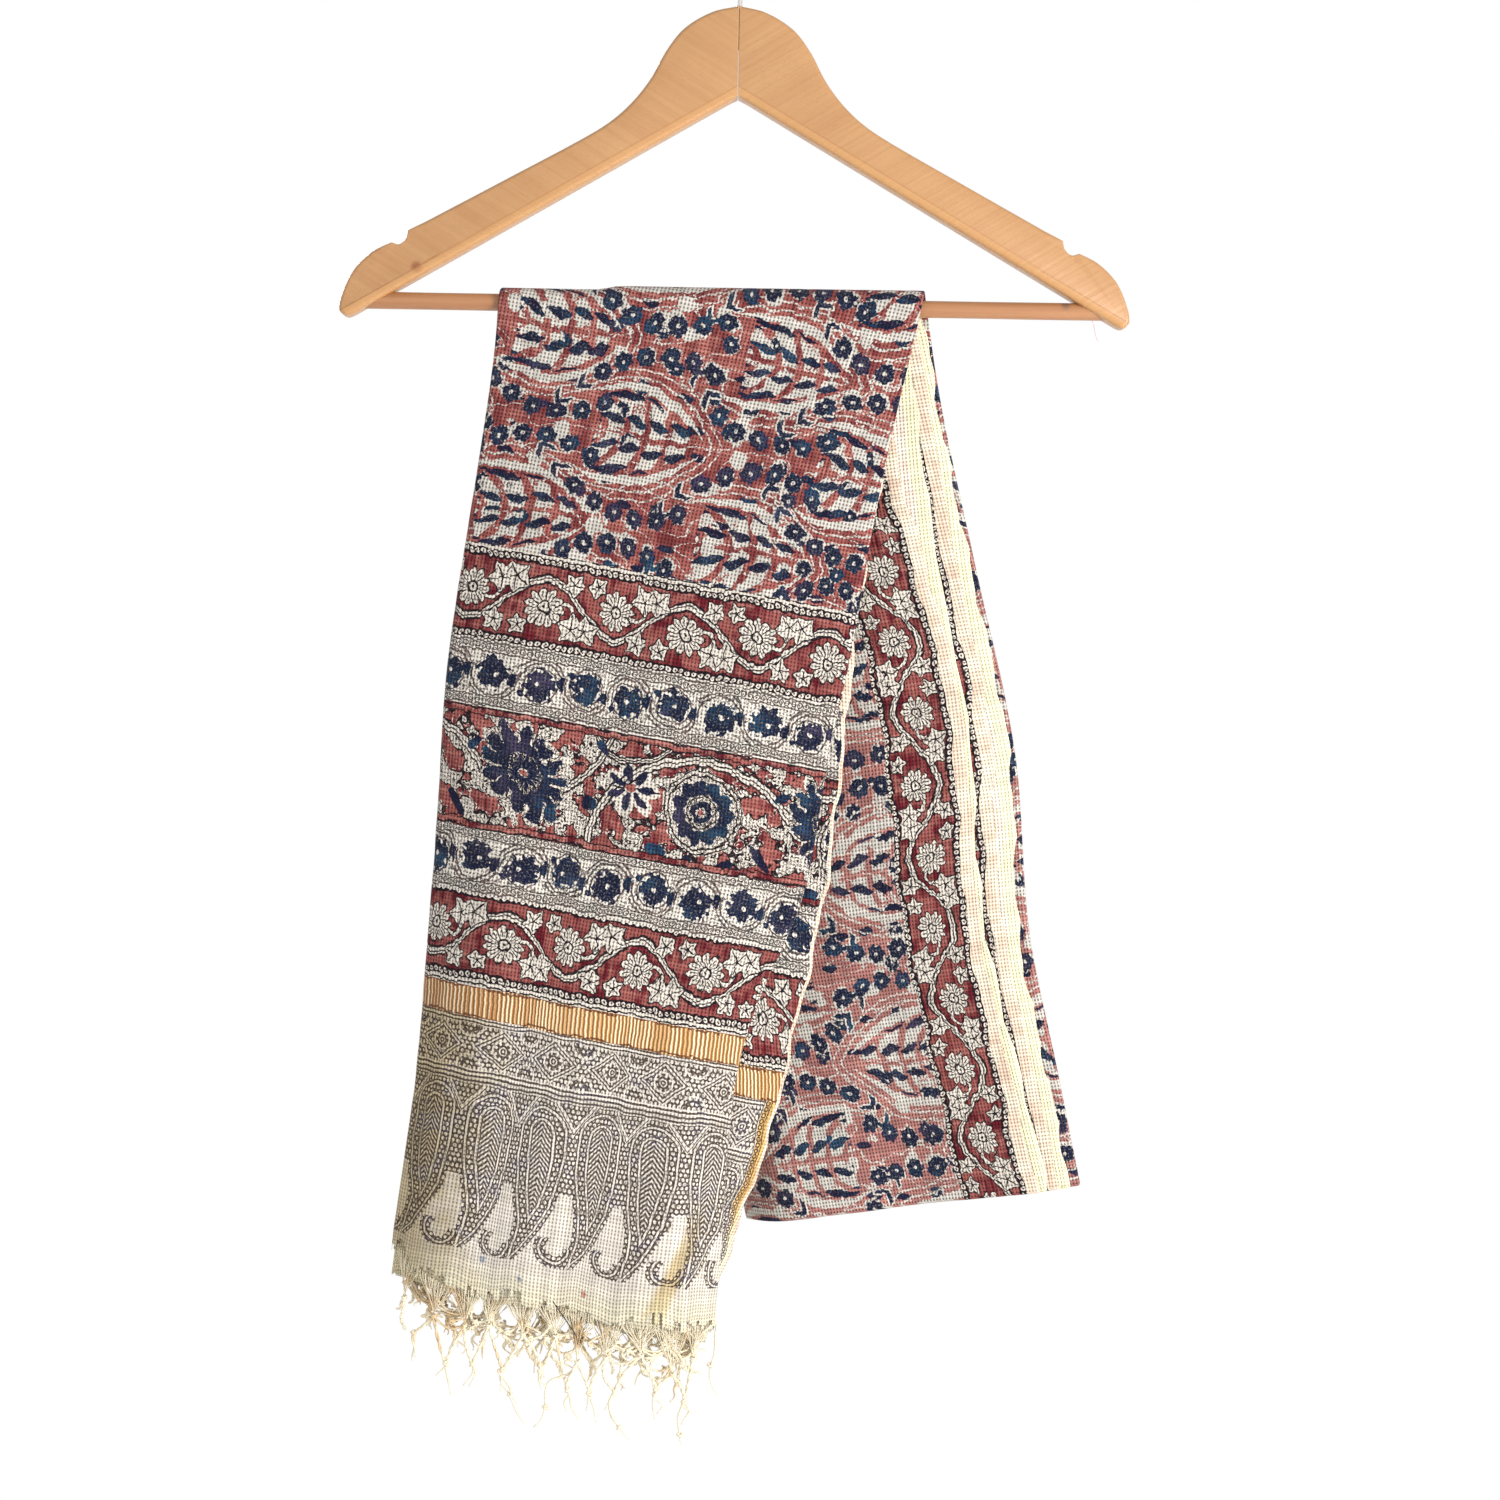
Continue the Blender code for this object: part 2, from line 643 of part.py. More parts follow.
def make_arms():
    beech = material("beech", (0.72, 0.49, 0.29), 0.45)
    upright = Matrix.Identity(4)
    lying = Matrix.Rotation(math.pi / 2, 4, "Y")
    shank_hole = cutter("shank_hole", cylinder(
        "shank_hole", WIRE_DIAMETER / 2 + BORE_CLEARANCE, 2 * SHANK_INTO_HEAD, SHANK_SIDES, upright,
        Vector((0, 0, -HEAD_BELOW_CROWN))))
    for name, side in (("hanger_arm_left", -1), ("hanger_arm_right", 1)):
        arm = make_arm(name, side, beech)
        bore = cutter(name + "_bore", cylinder(
            name + "_bore", BAR_DIAMETER / 2 + BORE_CLEARANCE, BORE_DEPTH, BAR_SIDES, lying,
            Vector((side * (BAR_HALF_LENGTH + GAP - BORE_DEPTH / 2), 0, bar_height()))))
        for tool in (shank_hole, bore):
            cut = arm.modifiers.new(tool.name, "BOOLEAN")
            cut.operation = "DIFFERENCE"
            cut.solver = "EXACT"
            cut.object = tool


def make_bar():
    mesh = cylinder(
        "hanger_bar", BAR_DIAMETER / 2, 2 * BAR_HALF_LENGTH, BAR_SIDES,
        Matrix.Rotation(math.pi / 2, 4, "Y"), Vector((0, 0, bar_height())))
    shade(mesh, 40)
    return add_object("hanger_bar", mesh, material("bar_beech", (0.68, 0.45, 0.27), 0.5))


def hook_route():
    """The wire's middle line: up the shank, out to the side and round the crook."""
    radius = CROOK_RADIUS + WIRE_DIAMETER / 2
    centre = Vector((0, 0, -CROOK_RADIUS))
    foot = -HEAD_BELOW_CROWN - SHANK_INTO_HEAD + GAP
    leave = -HEAD_BELOW_CROWN + SHANK_ABOVE_HEAD
    join = math.radians(CROOK_STARTS)
    heading = Vector((-math.sin(join), 0, math.cos(join)))
    p0 = Vector((0, 0, leave))
    p3 = centre + Vector((math.cos(join), 0, math.sin(join))) * radius
    p1 = p0 + Vector((0, 0, SWING_REACH))
    p2 = p3 - heading * SWING_REACH
    route = [Vector((0, 0, foot)), Vector((0, 0, (foot + leave) / 2))]
    for k in range(SWING_STEPS + 1):
        t = k / SWING_STEPS
        route.append(p0 * (1 - t) ** 3 + p1 * 3 * t * (1 - t) ** 2 + p2 * 3 * t * t * (1 - t) + p3 * t**3)
    for k in range(1, CROOK_STEPS + 1):
        angle = join + math.radians(CROOK_SWEEP) * k / CROOK_STEPS
        route.append(centre + Vector((math.cos(angle), 0, math.sin(angle))) * radius)
    return route


def make_hook():
    curve = bpy.data.curves.new("hanger_hook", "CURVE")
    curve.dimensions = "3D"
    curve.bevel_depth = WIRE_DIAMETER / 2
    curve.bevel_resolution = 2
    curve.use_fill_caps = True
    route = hook_route()
    spline = curve.splines.new("POLY")
    spline.points.add(len(route) - 1)
    for point, place in zip(spline.points, route):
        point.co = (*place, 1.0)
    return add_object("hanger_hook", curve, material("bright_wire", (0.80, 0.79, 0.76), 0.25, 1.0))


def main():
    clear_scene()
    make_cloth()
    make_fringe("fringe_outer_end", "T")
    make_fringe("fringe_inner_end", "U")
    make_arms()
    make_bar()
    make_hook()


main()
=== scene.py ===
# %% [markdown]
# # A kalamkari dupatta on a wooden hanger
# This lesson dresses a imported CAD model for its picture. The solids already say where each
# piece is, so nothing is fitted by eye here: every length is in metres, in the CAD's frame,
# with +Z up and the fringed panel facing -Y. We load the frame first, because every piece
# made later has to name the solid that it stands for.

import functools
import math

import bmesh
import bpy
import numpy as np
from mathutils import Matrix, Vector


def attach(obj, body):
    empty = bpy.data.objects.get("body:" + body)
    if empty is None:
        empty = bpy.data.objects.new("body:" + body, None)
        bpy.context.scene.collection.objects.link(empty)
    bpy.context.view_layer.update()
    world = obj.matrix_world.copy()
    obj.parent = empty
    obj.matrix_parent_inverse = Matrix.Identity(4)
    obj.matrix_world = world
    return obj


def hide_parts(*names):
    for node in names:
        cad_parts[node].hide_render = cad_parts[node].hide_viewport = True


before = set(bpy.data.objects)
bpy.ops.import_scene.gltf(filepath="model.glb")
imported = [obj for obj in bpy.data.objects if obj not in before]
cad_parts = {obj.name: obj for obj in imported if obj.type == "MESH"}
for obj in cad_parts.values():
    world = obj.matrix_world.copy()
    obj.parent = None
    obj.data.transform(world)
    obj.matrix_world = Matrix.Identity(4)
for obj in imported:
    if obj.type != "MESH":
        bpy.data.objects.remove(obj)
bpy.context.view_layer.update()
MM = 0.001
print("nodes", sorted(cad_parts))

# %% [markdown]
# ## Camera
# The photograph was taken level with the middle of the cloth, from a little to the right of
# the hook, and it leans by about one degree. A long lens 1.7 m away gives the same mild
# perspective. A camera's lens and sensor fix the width that it sees, so the lens length is
# worked out from the 846 mm that the frame spans at the hanger.

# %% Camera
CAMERA_X = 12.9 * MM
CAMERA_Z = -488.3 * MM
CAMERA_AWAY = 1.7
SPAN = 0.846
LEAN = math.radians(0.95)

lens = bpy.data.cameras.new("camera")
lens.sensor_width = 36.0
lens.lens = 36.0 * CAMERA_AWAY / SPAN
camera = bpy.data.objects.new("camera", lens)
camera.matrix_world = (Matrix.Translation((CAMERA_X, -CAMERA_AWAY, CAMERA_Z))
                       @ Matrix.Rotation(math.pi / 2, 4, "X") @ Matrix.Rotation(LEAN, 4, "Z"))
bpy.context.scene.collection.objects.link(camera)
bpy.context.scene.camera = camera
print("lens", round(lens.lens, 1), "mm")

# %% [markdown]
# ## Writing finishes as sums
# A material in Blender is a graph of nodes, and a printed cloth needs hundreds of them. So we
# write the maths as Python. The class Value wraps one socket, and adding or comparing two
# Values adds the Math node that does it. Masks are numbers too: & multiplies them and |
# takes the larger. Colours never pass through a Math node, which would turn them grey: they
# are laid one over another by mix().

# %% Values
class Value:
    """A socket that can be used in sums. Reflected forms let 1 - mask work."""

    def __init__(self, graph, socket):
        self.graph = graph
        self.socket = socket

    def math(self, operation, *others):
        return self.graph.math(operation, self, *others)

    def __rsub__(self, other):
        return self.graph.math("SUBTRACT", other, self)

    def __invert__(self):
        return 1.0 - self

    def __abs__(self):
        return self.math("ABSOLUTE")


def operator(operation):
    """The method of Value that adds one kind of Math node."""
    return lambda value, other: value.math(operation, other)


for names, operation in (
    ("add radd", "ADD"), ("sub", "SUBTRACT"), ("mul rmul and", "MULTIPLY"), ("or", "MAXIMUM"),
    ("truediv", "DIVIDE"), ("mod", "FLOORED_MODULO"), ("lt", "LESS_THAN"), ("gt", "GREATER_THAN"),
):
    for name in names.split():
        setattr(Value, f"__{name}__", operator(operation))


def either(masks):
    """Several masks as one: 1 where any of them is."""
    return functools.reduce(lambda one, other: one | other, masks)


def near(value, *lines):
    """1 where the value lies on a line, else 0: each line is a middle and a reach."""
    return either([value.math("COMPARE", middle, reach)
                   for middle, reach in zip(lines[::2], lines[1::2])])


def sin(value):
    return value.math("SINE")


def cos(value):
    return value.math("COSINE")


def floor_of(value):
    return value.math("FLOOR")


def wrap(value, half):
    """The value brought into the stretch from -half to half by whole periods."""
    return value.math("WRAP", half, -half)


DYE_UNDER_LIGHT = 0.68  # the tent and the lamp together are brighter than 1


def daylight(red, green, blue):
    """A colour as it looks in the photograph, 0 to 255, as the linear colour of the dye."""
    share = np.array([red, green, blue]) / 255
    linear = np.where(share <= 0.04045, share / 12.92, ((share + 0.055) / 1.055) ** 2.4)
    return (*(linear * DYE_UNDER_LIGHT), 1.0)


# %% [markdown]
# A Graph adds nodes to one tree. Every kind of node comes from one method, which sets the
# node's own settings first, since they can change its sockets, and then gives each socket a
# number or a link. A Finish is the Graph of one material.

# %% Finish
class Graph:
    """A node tree under construction, which ends in the shader of a material or a world."""

    def __init__(self, owner, shader):
        owner.use_nodes = True
        self.tree = owner.node_tree
        self.shader = self.tree.nodes[shader]

    def node(self, kind, settings=None, inputs=None, output=0):
        made = self.tree.nodes.new(kind)
        for name, value in (settings or {}).items():
            setattr(made, name, value)
        for key, value in (inputs or {}).items():
            if isinstance(value, Value):
                self.tree.links.new(value.socket, made.inputs[key])
            else:
                made.inputs[key].default_value = value
        return Value(self, made.outputs[output])

    def ramp(self, value, stops):
        """A number for each value, through stops of a place and a grey."""
        made = self.node("ShaderNodeValToRGB", None, {0: value})
        elements = made.socket.node.color_ramp.elements
        while len(elements) < len(stops):
            elements.new(1.0)
        for element, (place, grey) in zip(elements, stops):
            element.position = place
            element.color = (grey, grey, grey, 1.0)
        return made

    def where(self):
        """The point's place in the coordinates of its own object."""
        return self.node("ShaderNodeTexCoord", output=3)

    def math(self, operation, *values):
        return self.node("ShaderNodeMath", {"operation": operation}, dict(enumerate(values)))

    def point(self, x, y, z=0.0):
        return self.node("ShaderNodeCombineXYZ", None, {0: x, 1: y, 2: z})

    def vector_math(self, operation, *values):
        inputs = dict(enumerate(values))
        return self.node("ShaderNodeVectorMath", {"operation": operation}, inputs, 1)

    def distance(self, point, x, y):
        return self.vector_math("DISTANCE", point, (x, y, 0.0))

    def length(self, x, y):
        return self.vector_math("LENGTH", self.point(x, y))

    def angle(self, x, y):
        return self.math("ARCTAN2", y, x)

    def parts(self, vector):
        """The x, y and z of a vector, as three Values."""
        split = self.node("ShaderNodeSeparateXYZ", None, {0: vector})
        outputs = split.socket.node.outputs
        return tuple(Value(self, outputs[k]) for k in range(3))

    def noise(self, vector, scale, detail=2.0, output=0):
        return self.node("ShaderNodeTexNoise", None, {
            "Vector": vector, "Scale": scale, "Detail": detail}, output)

    def chance(self, value):
        """A fixed random number from 0 to 1 for each value."""
        return self.node("ShaderNodeTexWhiteNoise", {"noise_dimensions": "1D"}, {"W": value})

    def grade(self, value, start, end, low=0.0, high=1.0):
        """The value's way from start to end, eased, as a number from low to high."""
        return self.node("ShaderNodeMapRange", {"interpolation_type": "SMOOTHSTEP"}, {
            "Value": value, "From Min": start, "From Max": end, "To Min": low, "To Max": high})

    def mix(self, mask, under, over, blend="MIX"):
        return self.node("ShaderNodeMix", {"data_type": "RGBA", "blend_type": blend}, {
            0: mask, 6: under, 7: over}, 2)

    def lay(self, colour, *coats):
        """Colours laid over one another in turn, each as a mask and a colour."""
        for mask, over in coats:
            colour = self.mix(mask, colour, over)
        return colour

    def feed(self, socket, value):
        self.tree.links.new(value.socket, self.shader.inputs[socket])

    def bump(self, height, depth):
        normal = self.node("ShaderNodeBump", None, {"Height": height, "Distance": depth})
        self.feed("Normal", normal)


class Finish(Graph):
    """One material, which reads a UV map or the object's own coordinates."""

    def __init__(self, name, roughness, **constants):
        self.material = bpy.data.materials.new(name)
        super().__init__(self.material, "Principled BSDF")
        for socket, value in {"Roughness": roughness, **constants}.items():
            self.shader.inputs[socket.replace("_", " ")].default_value = value


def dress(piece, finish):
    """Gives a piece its next finish."""
    piece.data.materials.append(finish)
    print(finish.name, "has", len(finish.node_tree.nodes), "nodes")


def mottled(name, scale, colour, other):
    """A matt finish of two tones, mixed by a noise of the place on the object."""
    f = Finish(name, 0.9)
    f.feed("Base Color", f.mix(f.noise(f.where(), scale), colour, other))
    return f.material


print("finish kit ready")

# %% [markdown]
# ## Studio
# A product shot of cloth wants a white tent, dimmer above and below. So the world's strength
# follows the height of the direction: full round the horizon, which gives the white ground,
# and less towards both poles. One large lamp from the right front models the folds, and a
# second, behind on the left, lights the back. The floor is a pale disc well below the hung
# cloth, so it shows only in views from above.

# %% Studio
FLOOR_Z = -1.45
FLOOR_RADIUS = 2.0
FLOOR_SIDES = 96


def mesh_object(name, points, faces, smooth=True):
    """A mesh object from an array of points and a list of faces, at the origin."""
    mesh = bpy.data.meshes.new(name)
    mesh.from_pydata(np.asarray(points).reshape(-1, 3).tolist(), [], faces)
    mesh.validate()
    mesh.update()
    mesh.shade_smooth() if smooth else mesh.shade_flat()
    thing = bpy.data.objects.new(name, mesh)
    bpy.context.scene.collection.objects.link(thing)
    return thing


def make_floor():
    """A disc: the points of a circle at even angles, one face."""
    angle = np.linspace(0, 2 * np.pi, FLOOR_SIDES, endpoint=False)
    rim = np.stack([np.cos(angle) * FLOOR_RADIUS, np.sin(angle) * FLOOR_RADIUS,
                    np.full_like(angle, FLOOR_Z)], axis=-1)
    return mesh_object("floor", rim, [list(range(FLOOR_SIDES))], smooth=False)


def add_lamp(name, place, target, size, power, colour=(1.0, 0.98, 0.95)):
    """A round area lamp at a place, turned to face its target."""
    data = bpy.data.lights.new(name, "AREA")
    data.shape = "DISK"
    data.size = size
    data.energy = power
    data.color = colour
    lamp = bpy.data.objects.new(name, data)
    aim = (Vector(target) - Vector(place)).to_track_quat("-Z", "Y")
    lamp.matrix_world = Matrix.Translation(place) @ aim.to_matrix().to_4x4()
    bpy.context.scene.collection.objects.link(lamp)


TENT_STRENGTH = ((0.0, 0.35), (0.3, 1.0), (0.7, 1.0), (1.0, 0.5))  # up the sky, nadir to zenith


def make_tent():
    """A world whose strength is a ramp over the height of the direction, from 0 to 1."""
    world = bpy.data.worlds.new("tent")
    sky = Graph(world, "Background")
    height = sky.parts(sky.node("ShaderNodeTexCoord"))[2]
    share = sky.node("ShaderNodeMapRange", None, {"Value": height, "From Min": -1.0})
    sky.feed("Color", sky.ramp(share, TENT_STRENGTH))
    bpy.context.scene.world = world


make_tent()
bpy.context.scene.view_settings.view_transform = "Standard"
floor = make_floor()
add_lamp("key", (1.5, -1.4, -0.45), (0.0, 0.0, -0.6), 0.8, 50.0)
add_lamp("back", (-1.2, 1.9, 0.5), (0.0, 0.0, -0.45), 0.9, 34.0)
print("floor at", FLOOR_Z, "m, lamps", len(bpy.data.lights))

# %% [markdown]
# ## How the cloth hangs
# The dupatta is 0.90 by 2.24 m. It is folded end to end, then in half and in half again
# across its width, and the bundle of eight layers hangs askew over the bar. We don't let a
# simulation find that shape, because the folds in the photograph are known: a point of the
# cloth has a place across the bundle, a layer and a length from its hem, and those three
# say where it is in space. The tables below are the ones that the solid was made from.

# %% Tables of the hung bundle
BAR_Z = -238.2 * MM
HALF_LENGTH = 1120.0 * MM  # from a hem to the lengthwise fold
QUARTER = 232.0 * MM  # one of the four widths that the cloth is folded into
HANG_RADIUS = 7.6 * MM
LEFT_AT_BAR = 564.0 * MM
RIGHT_AT_BAR = 604.0 * MM
LAYERS = 8

EDGES = (
    # from_hem_mm, left_x_mm, right_x_mm
    (-60, -178.5, 4), (0, -177.3, 4), (60, -170.5, 14.5), (120, -163.5, 25), (180, -159.8, 36),
    (260, -155, 55), (340, -151.8, 65), (430, -141.5, 75), (520, -132.5, 90), (590, -127.5, 104),
    (660, -107, 115), (760, -77, 136.5), (870, -47, 161), (980, -16.5, 172.5), (1050, 2, 188),
    (1120, 18, 203),
)

FAN = (
    # from_hem_mm, fold_2_3_mm, t1_mm, u1_mm, u4_mm, t4_mm
    (-60, -22, -26, -25, -24, -21), (0, -22, -26, -25, -24, -21), (60, -27, -18, -17, -16, -14),
    (150, -33, -5, -3, -1, 0), (260, -15, -5, -3, -1, 0), (300, -13, -5, -3, -1, 0),
    (340, -11, -5, -3, -1, 0), (375, -7, -6, -4, -2, -0.5), (410, -4, -7, -5, -3, -1),
    (450, -3, -9, -7, -4, -1), (590, 0, -22, -8, -4, -1), (700, 0, -31, -16, -6.5, -1),
    (770, 0, -27, -20.5, -9, -1), (826, 0, -25, -22.5, -9, -1), (860, 0, -27, -23.5, -11.5, -1),
    (900, 0, -29, -26.5, -14, -2), (1000, 0, -29.5, -25, -14, -5), (1120, 0, -27, -19, -11, -4),
)

TURNS = (
    # below_bar_mm, front_left_deg, front_right_deg, back_left_deg, front_out_mm, back_out_mm
    (0, 0, 0, 0, 0, 0), (60, 5, 1, 6, 0, 0.5), (150, 14, 4, 20, 1, 5), (300, 24, 9, 38, 4, 15),
    (420, 30, 17, 50, 7, 24), (500, 34, 27, 56, 9, 30), (580, 38, 42, 58, 10, 32),
    (660, 38, 46, 58, 10, 32),
)
TURN_LEFT = (14.0 * MM, 52.0 * MM)
TURN_RIGHT = (150.0 * MM, 188.0 * MM)
FLAT_MIDDLE = 92.0 * MM
BACK_PUSH_KEPT = 0.4
BACK_PUSH_LOST = 0.8
RULER_STEPS = 58
RIPPLE = 1.6 * MM
RIPPLE_WIDTH = 74.0 * MM
RIPPLE_DRIFT = 0.106
RIPPLE_GROWS = 300.0 * MM
RIPPLE_SPAN = (40.0 * MM, 150.0 * MM)
RIPPLE_FADE = 30.0 * MM
print("rows of the edge table", len(EDGES))

# %% [markdown]
# A solid sheet has to be a millimetre thick, but the real gauze is about 0.3 mm. So the
# visible layers lie 0.38 mm apart on the bar, and drift out to the solid's spacing within a
# hand's breadth of it, where the real ones are puffed apart by their own creases.

# %% From the cloth to space
THIN_RADIUS = 5.25 * MM  # of the innermost layer's middle on the bar
THIN_PITCH = 0.38 * MM
WIDE_RADIUS = 6.1 * MM
WIDE_PITCH = 1.26 * MM
WIDE_SPREAD = 0.6
WIDE_WITHIN = 510.0 * MM
PUFF_WITHIN = 190.0 * MM


def smooth_rows(rows, column, at):
    """One column of a table at the places `at`: cubics through the rows.

    The slope at a row is the mean of the slopes beside it.
    """
    places = np.array([row[0] for row in rows]) * MM
    values = np.array([row[column] for row in rows], dtype=float)
    slopes = np.gradient(values, places)
    at = np.clip(np.asarray(at, dtype=float), places[0], places[-1])
    low = np.clip(np.searchsorted(places, at, side="right") - 1, 0, len(places) - 2)
    width = places[low + 1] - places[low]
    t = (at - places[low]) / width
    start = values[low] * (1 + 2 * t) * (1 - t) ** 2 + values[low + 1] * t * t * (3 - 2 * t)
    bend = slopes[low] * t * (1 - t) ** 2 - slopes[low + 1] * t * t * (1 - t)
    return start + bend * width


def ease(t):
    """0 below 0, 1 above 1, and t squared times (3 - 2t) between."""
    t = np.clip(t, 0.0, 1.0)
    return t * t * (3 - 2 * t)


def fall(from_hem, at_bar, aside):
    """How far a length of cloth hangs past the bar's top: Pythagoras with what goes aside."""
    length = at_bar - from_hem
    return np.sign(length) * np.sqrt(np.maximum(length**2 - aside**2, 0.0))


def turn_angle(across, below, front):
    """Heading of a panel's level section: the two sides' turns plus the soft ripples."""
    left = np.radians(np.where(front, smooth_rows(TURNS, 1, below), smooth_rows(TURNS, 3, below)))
    right = np.where(front, np.radians(smooth_rows(TURNS, 2, below)), 0.0)
    before = 1 - ease((across - TURN_LEFT[0]) / (TURN_LEFT[1] - TURN_LEFT[0]))
    after = ease((across - TURN_RIGHT[0]) / (TURN_RIGHT[1] - TURN_RIGHT[0]))
    turns = 2 * math.pi / RIPPLE_WIDTH
    wave = np.sin(turns * (across + RIPPLE_DRIFT * below))
    ripple = RIPPLE * turns * ease(below / RIPPLE_GROWS) * wave
    middle = (ease((across - RIPPLE_SPAN[0]) / RIPPLE_FADE)
              * ease((RIPPLE_SPAN[1] - across) / RIPPLE_FADE))
    return right * after - left * before + ripple * middle


def section(across, below, front):
    """Run and depth of the level section: running sums of the heading's cosine and sine."""
    ruler = np.linspace(0.0, QUARTER, RULER_STEPS + 1)
    step = QUARTER / RULER_STEPS
    heading = turn_angle(ruler[None, :], below[:, None], front[:, None])

    def running_sum(slope):
        parts = (slope[:, 1:] + slope[:, :-1]) * step / 2
        return np.concatenate([np.zeros((len(below), 1)), np.cumsum(parts, axis=1)], axis=1)

    along = running_sum(np.cos(heading))
    back = running_sum(np.sin(heading))
    back -= back[:, [round(FLAT_MIDDLE / step)]]
    inside = np.clip(across, 0.0, QUARTER)
    cell = np.clip((inside / step).astype(int), 0, RULER_STEPS - 1)
    t = inside / step - cell
    every = np.arange(len(below))
    end = turn_angle(inside, below, front)
    past = across - inside
    x = along[every, cell] * (1 - t) + along[every, cell + 1] * t + past * np.cos(end)
    y = back[every, cell] * (1 - t) + back[every, cell + 1] * t + past * np.sin(end)
    return x / along[:, -1], y, end


def lift_of(layer, from_hem):
    """How far a layer lies outside the innermost: thin on the bar, the solid's pitch away."""
    away = np.abs(from_hem - (LEFT_AT_BAR + RIGHT_AT_BAR) / 2)
    puffed = ease(away / PUFF_WITHIN)
    from_middle = layer - (LAYERS - 1) / 2
    wide = WIDE_PITCH * (layer + from_middle * WIDE_SPREAD * ease(away / WIDE_WITHIN))
    return THIN_PITCH * layer * (1 - puffed) + wide * puffed


def inner_radius(from_hem):
    away = np.abs(from_hem - (LEFT_AT_BAR + RIGHT_AT_BAR) / 2)
    return THIN_RADIUS + (WIDE_RADIUS - THIN_RADIUS) * ease(away / PUFF_WITHIN)


def hang(across, layer, from_hem, outward=0.0, down=0.0):
    """Points of the hung bundle.

    The level section gives the sideways share and the depth, the fall gives the height, and
    within a quarter turn of the bar's top the point goes round the bar's axis instead.
    """
    across, layer, from_hem, outward, down = np.broadcast_arrays(
        *(np.asarray(v, dtype=float) for v in (across, layer, from_hem, outward, down)))
    shape = across.shape
    across, layer, from_hem, outward, down = (
        v.ravel() for v in (across, layer, from_hem, outward, down))
    left_x = smooth_rows(EDGES, 1, from_hem) * MM
    right_x = smooth_rows(EDGES, 2, from_hem) * MM
    left_s = fall(from_hem, LEFT_AT_BAR, left_x - smooth_rows(EDGES, 1, LEFT_AT_BAR) * MM)
    right_s = fall(from_hem, RIGHT_AT_BAR, right_x - smooth_rows(EDGES, 2, RIGHT_AT_BAR) * MM)
    quarter_turn = HANG_RADIUS * math.pi / 2
    middle_s = left_s + across / QUARTER * (right_s - left_s)
    middle_below = np.maximum(np.abs(middle_s) - quarter_turn, 0.0)
    share, back, heading = section(across, middle_below, middle_s > 0)
    s = left_s + share * (right_s - left_s)
    below = np.maximum(np.abs(s) - quarter_turn, 0.0)
    turn = np.clip(s / HANG_RADIUS, -math.pi / 2, math.pi / 2)
    pushed = 1 - BACK_PUSH_LOST * ease((share - BACK_PUSH_KEPT) / (1 - BACK_PUSH_KEPT))
    front_out, back_out = smooth_rows(TURNS, 4, below), smooth_rows(TURNS, 5, below) * pushed
    apart = np.where(s > 0, -front_out, back_out) * MM
    lift = lift_of(layer, from_hem) + outward
    inner = inner_radius(from_hem)
    x = left_x + share * (right_x - left_x) + lift * np.sin(heading) * np.sin(turn)
    y = back + apart - (inner + lift * np.cos(heading)) * np.sin(turn)
    z = BAR_Z + (inner + lift) * np.cos(turn) - below - down
    return np.stack([x, y, z], axis=-1).reshape(*shape, 3)


print("top of the outer layer over the bar", hang(0.1, 7, 0.582).round(4))

# %% [markdown]
# ## The main creases
# Hung gauze keeps the creases of its packing. Each is laid as a soft trough or ridge
# along a line on the bundle, in its own width and height, and it fades towards both ends.
# Every layer of a panel takes them together, or they would cut through one another.

# %% Creases
CREASES = (
    # side, across_mm, from_hem_mm, to_across_mm, to_from_hem_mm, half_width_mm, height_mm, bow_mm
    (1, 206, 96, 168, -8, 4.5, -2.6, 3), (1, 190, 120, 150, -10, 9, 1.9, 4),
    (1, 120, 150, 112, -20, 12, -1.3, 6), (1, 66, 210, 74, -20, 10, 1.2, -5),
    (1, 30, 150, 40, -10, 7, -1.2, 3), (1, 40, 430, 215, 330, 9, 0.9, 8),
    (1, 20, 330, 150, 268, 8, -0.7, -6), (1, 150, 470, 225, 560, 10, 1.1, 5),
    (1, 60, 500, 150, 556, 9, -0.8, 6), (1, 204, 470, 196, 170, 8, -1, 4),
    (-1, 150, 640, 120, 900, 12, 1.3, 8), (-1, 60, 650, 90, 980, 11, -1.2, -7),
    (-1, 190, 700, 214, 930, 6, -1.6, 4), (-1, 208, 900, 190, 1120, 7, 1.5, -4),
    (-1, 120, 1090, 210, 1060, 9, 1, 5), (-1, 20, 1060, 120, 1100, 9, -1, 4),
)


def crease_lift(across, from_hem, side):
    """Sum over the creases of height times a bell across the line times a fade along it.

    The place along the line runs from 0 to 1, and the line bows by a sine of that place.
    """
    total = np.zeros(np.broadcast(across, from_hem).shape)
    for panel, a0, v0, a1, v1, half_width, height, bow in CREASES:
        run = np.array([a1 - a0, v1 - v0]) * MM
        size = np.hypot(*run)
        along = ((across - a0 * MM) * run[0] + (from_hem - v0 * MM) * run[1]) / size**2
        aside = ((across - a0 * MM) * run[1] - (from_hem - v0 * MM) * run[0]) / size
        inside = np.clip(along, 0.0, 1.0)
        aside = aside - bow * MM * np.sin(np.pi * inside)
        fade = np.sin(np.pi * inside) ** 0.6 * ((along > 0) & (along < 1))
        bell = np.exp(-((aside / (half_width * MM)) ** 2))
        total += np.where(side == panel, height * MM * bell * fade, 0.0)
    return total


# The top of the stack, right of this place, stands a little off the bar.
LOBE_FROM = 52.0 * MM
LOBE_RISE = 2.2 * MM
LOBE_WITHIN = 26.0 * MM
LOBE_GROWS = 14.0 * MM
CRINKLE = 0.28 * MM
CRINKLE_FREE = 60.0 * MM  # from the bar, where the cloth is pulled smooth


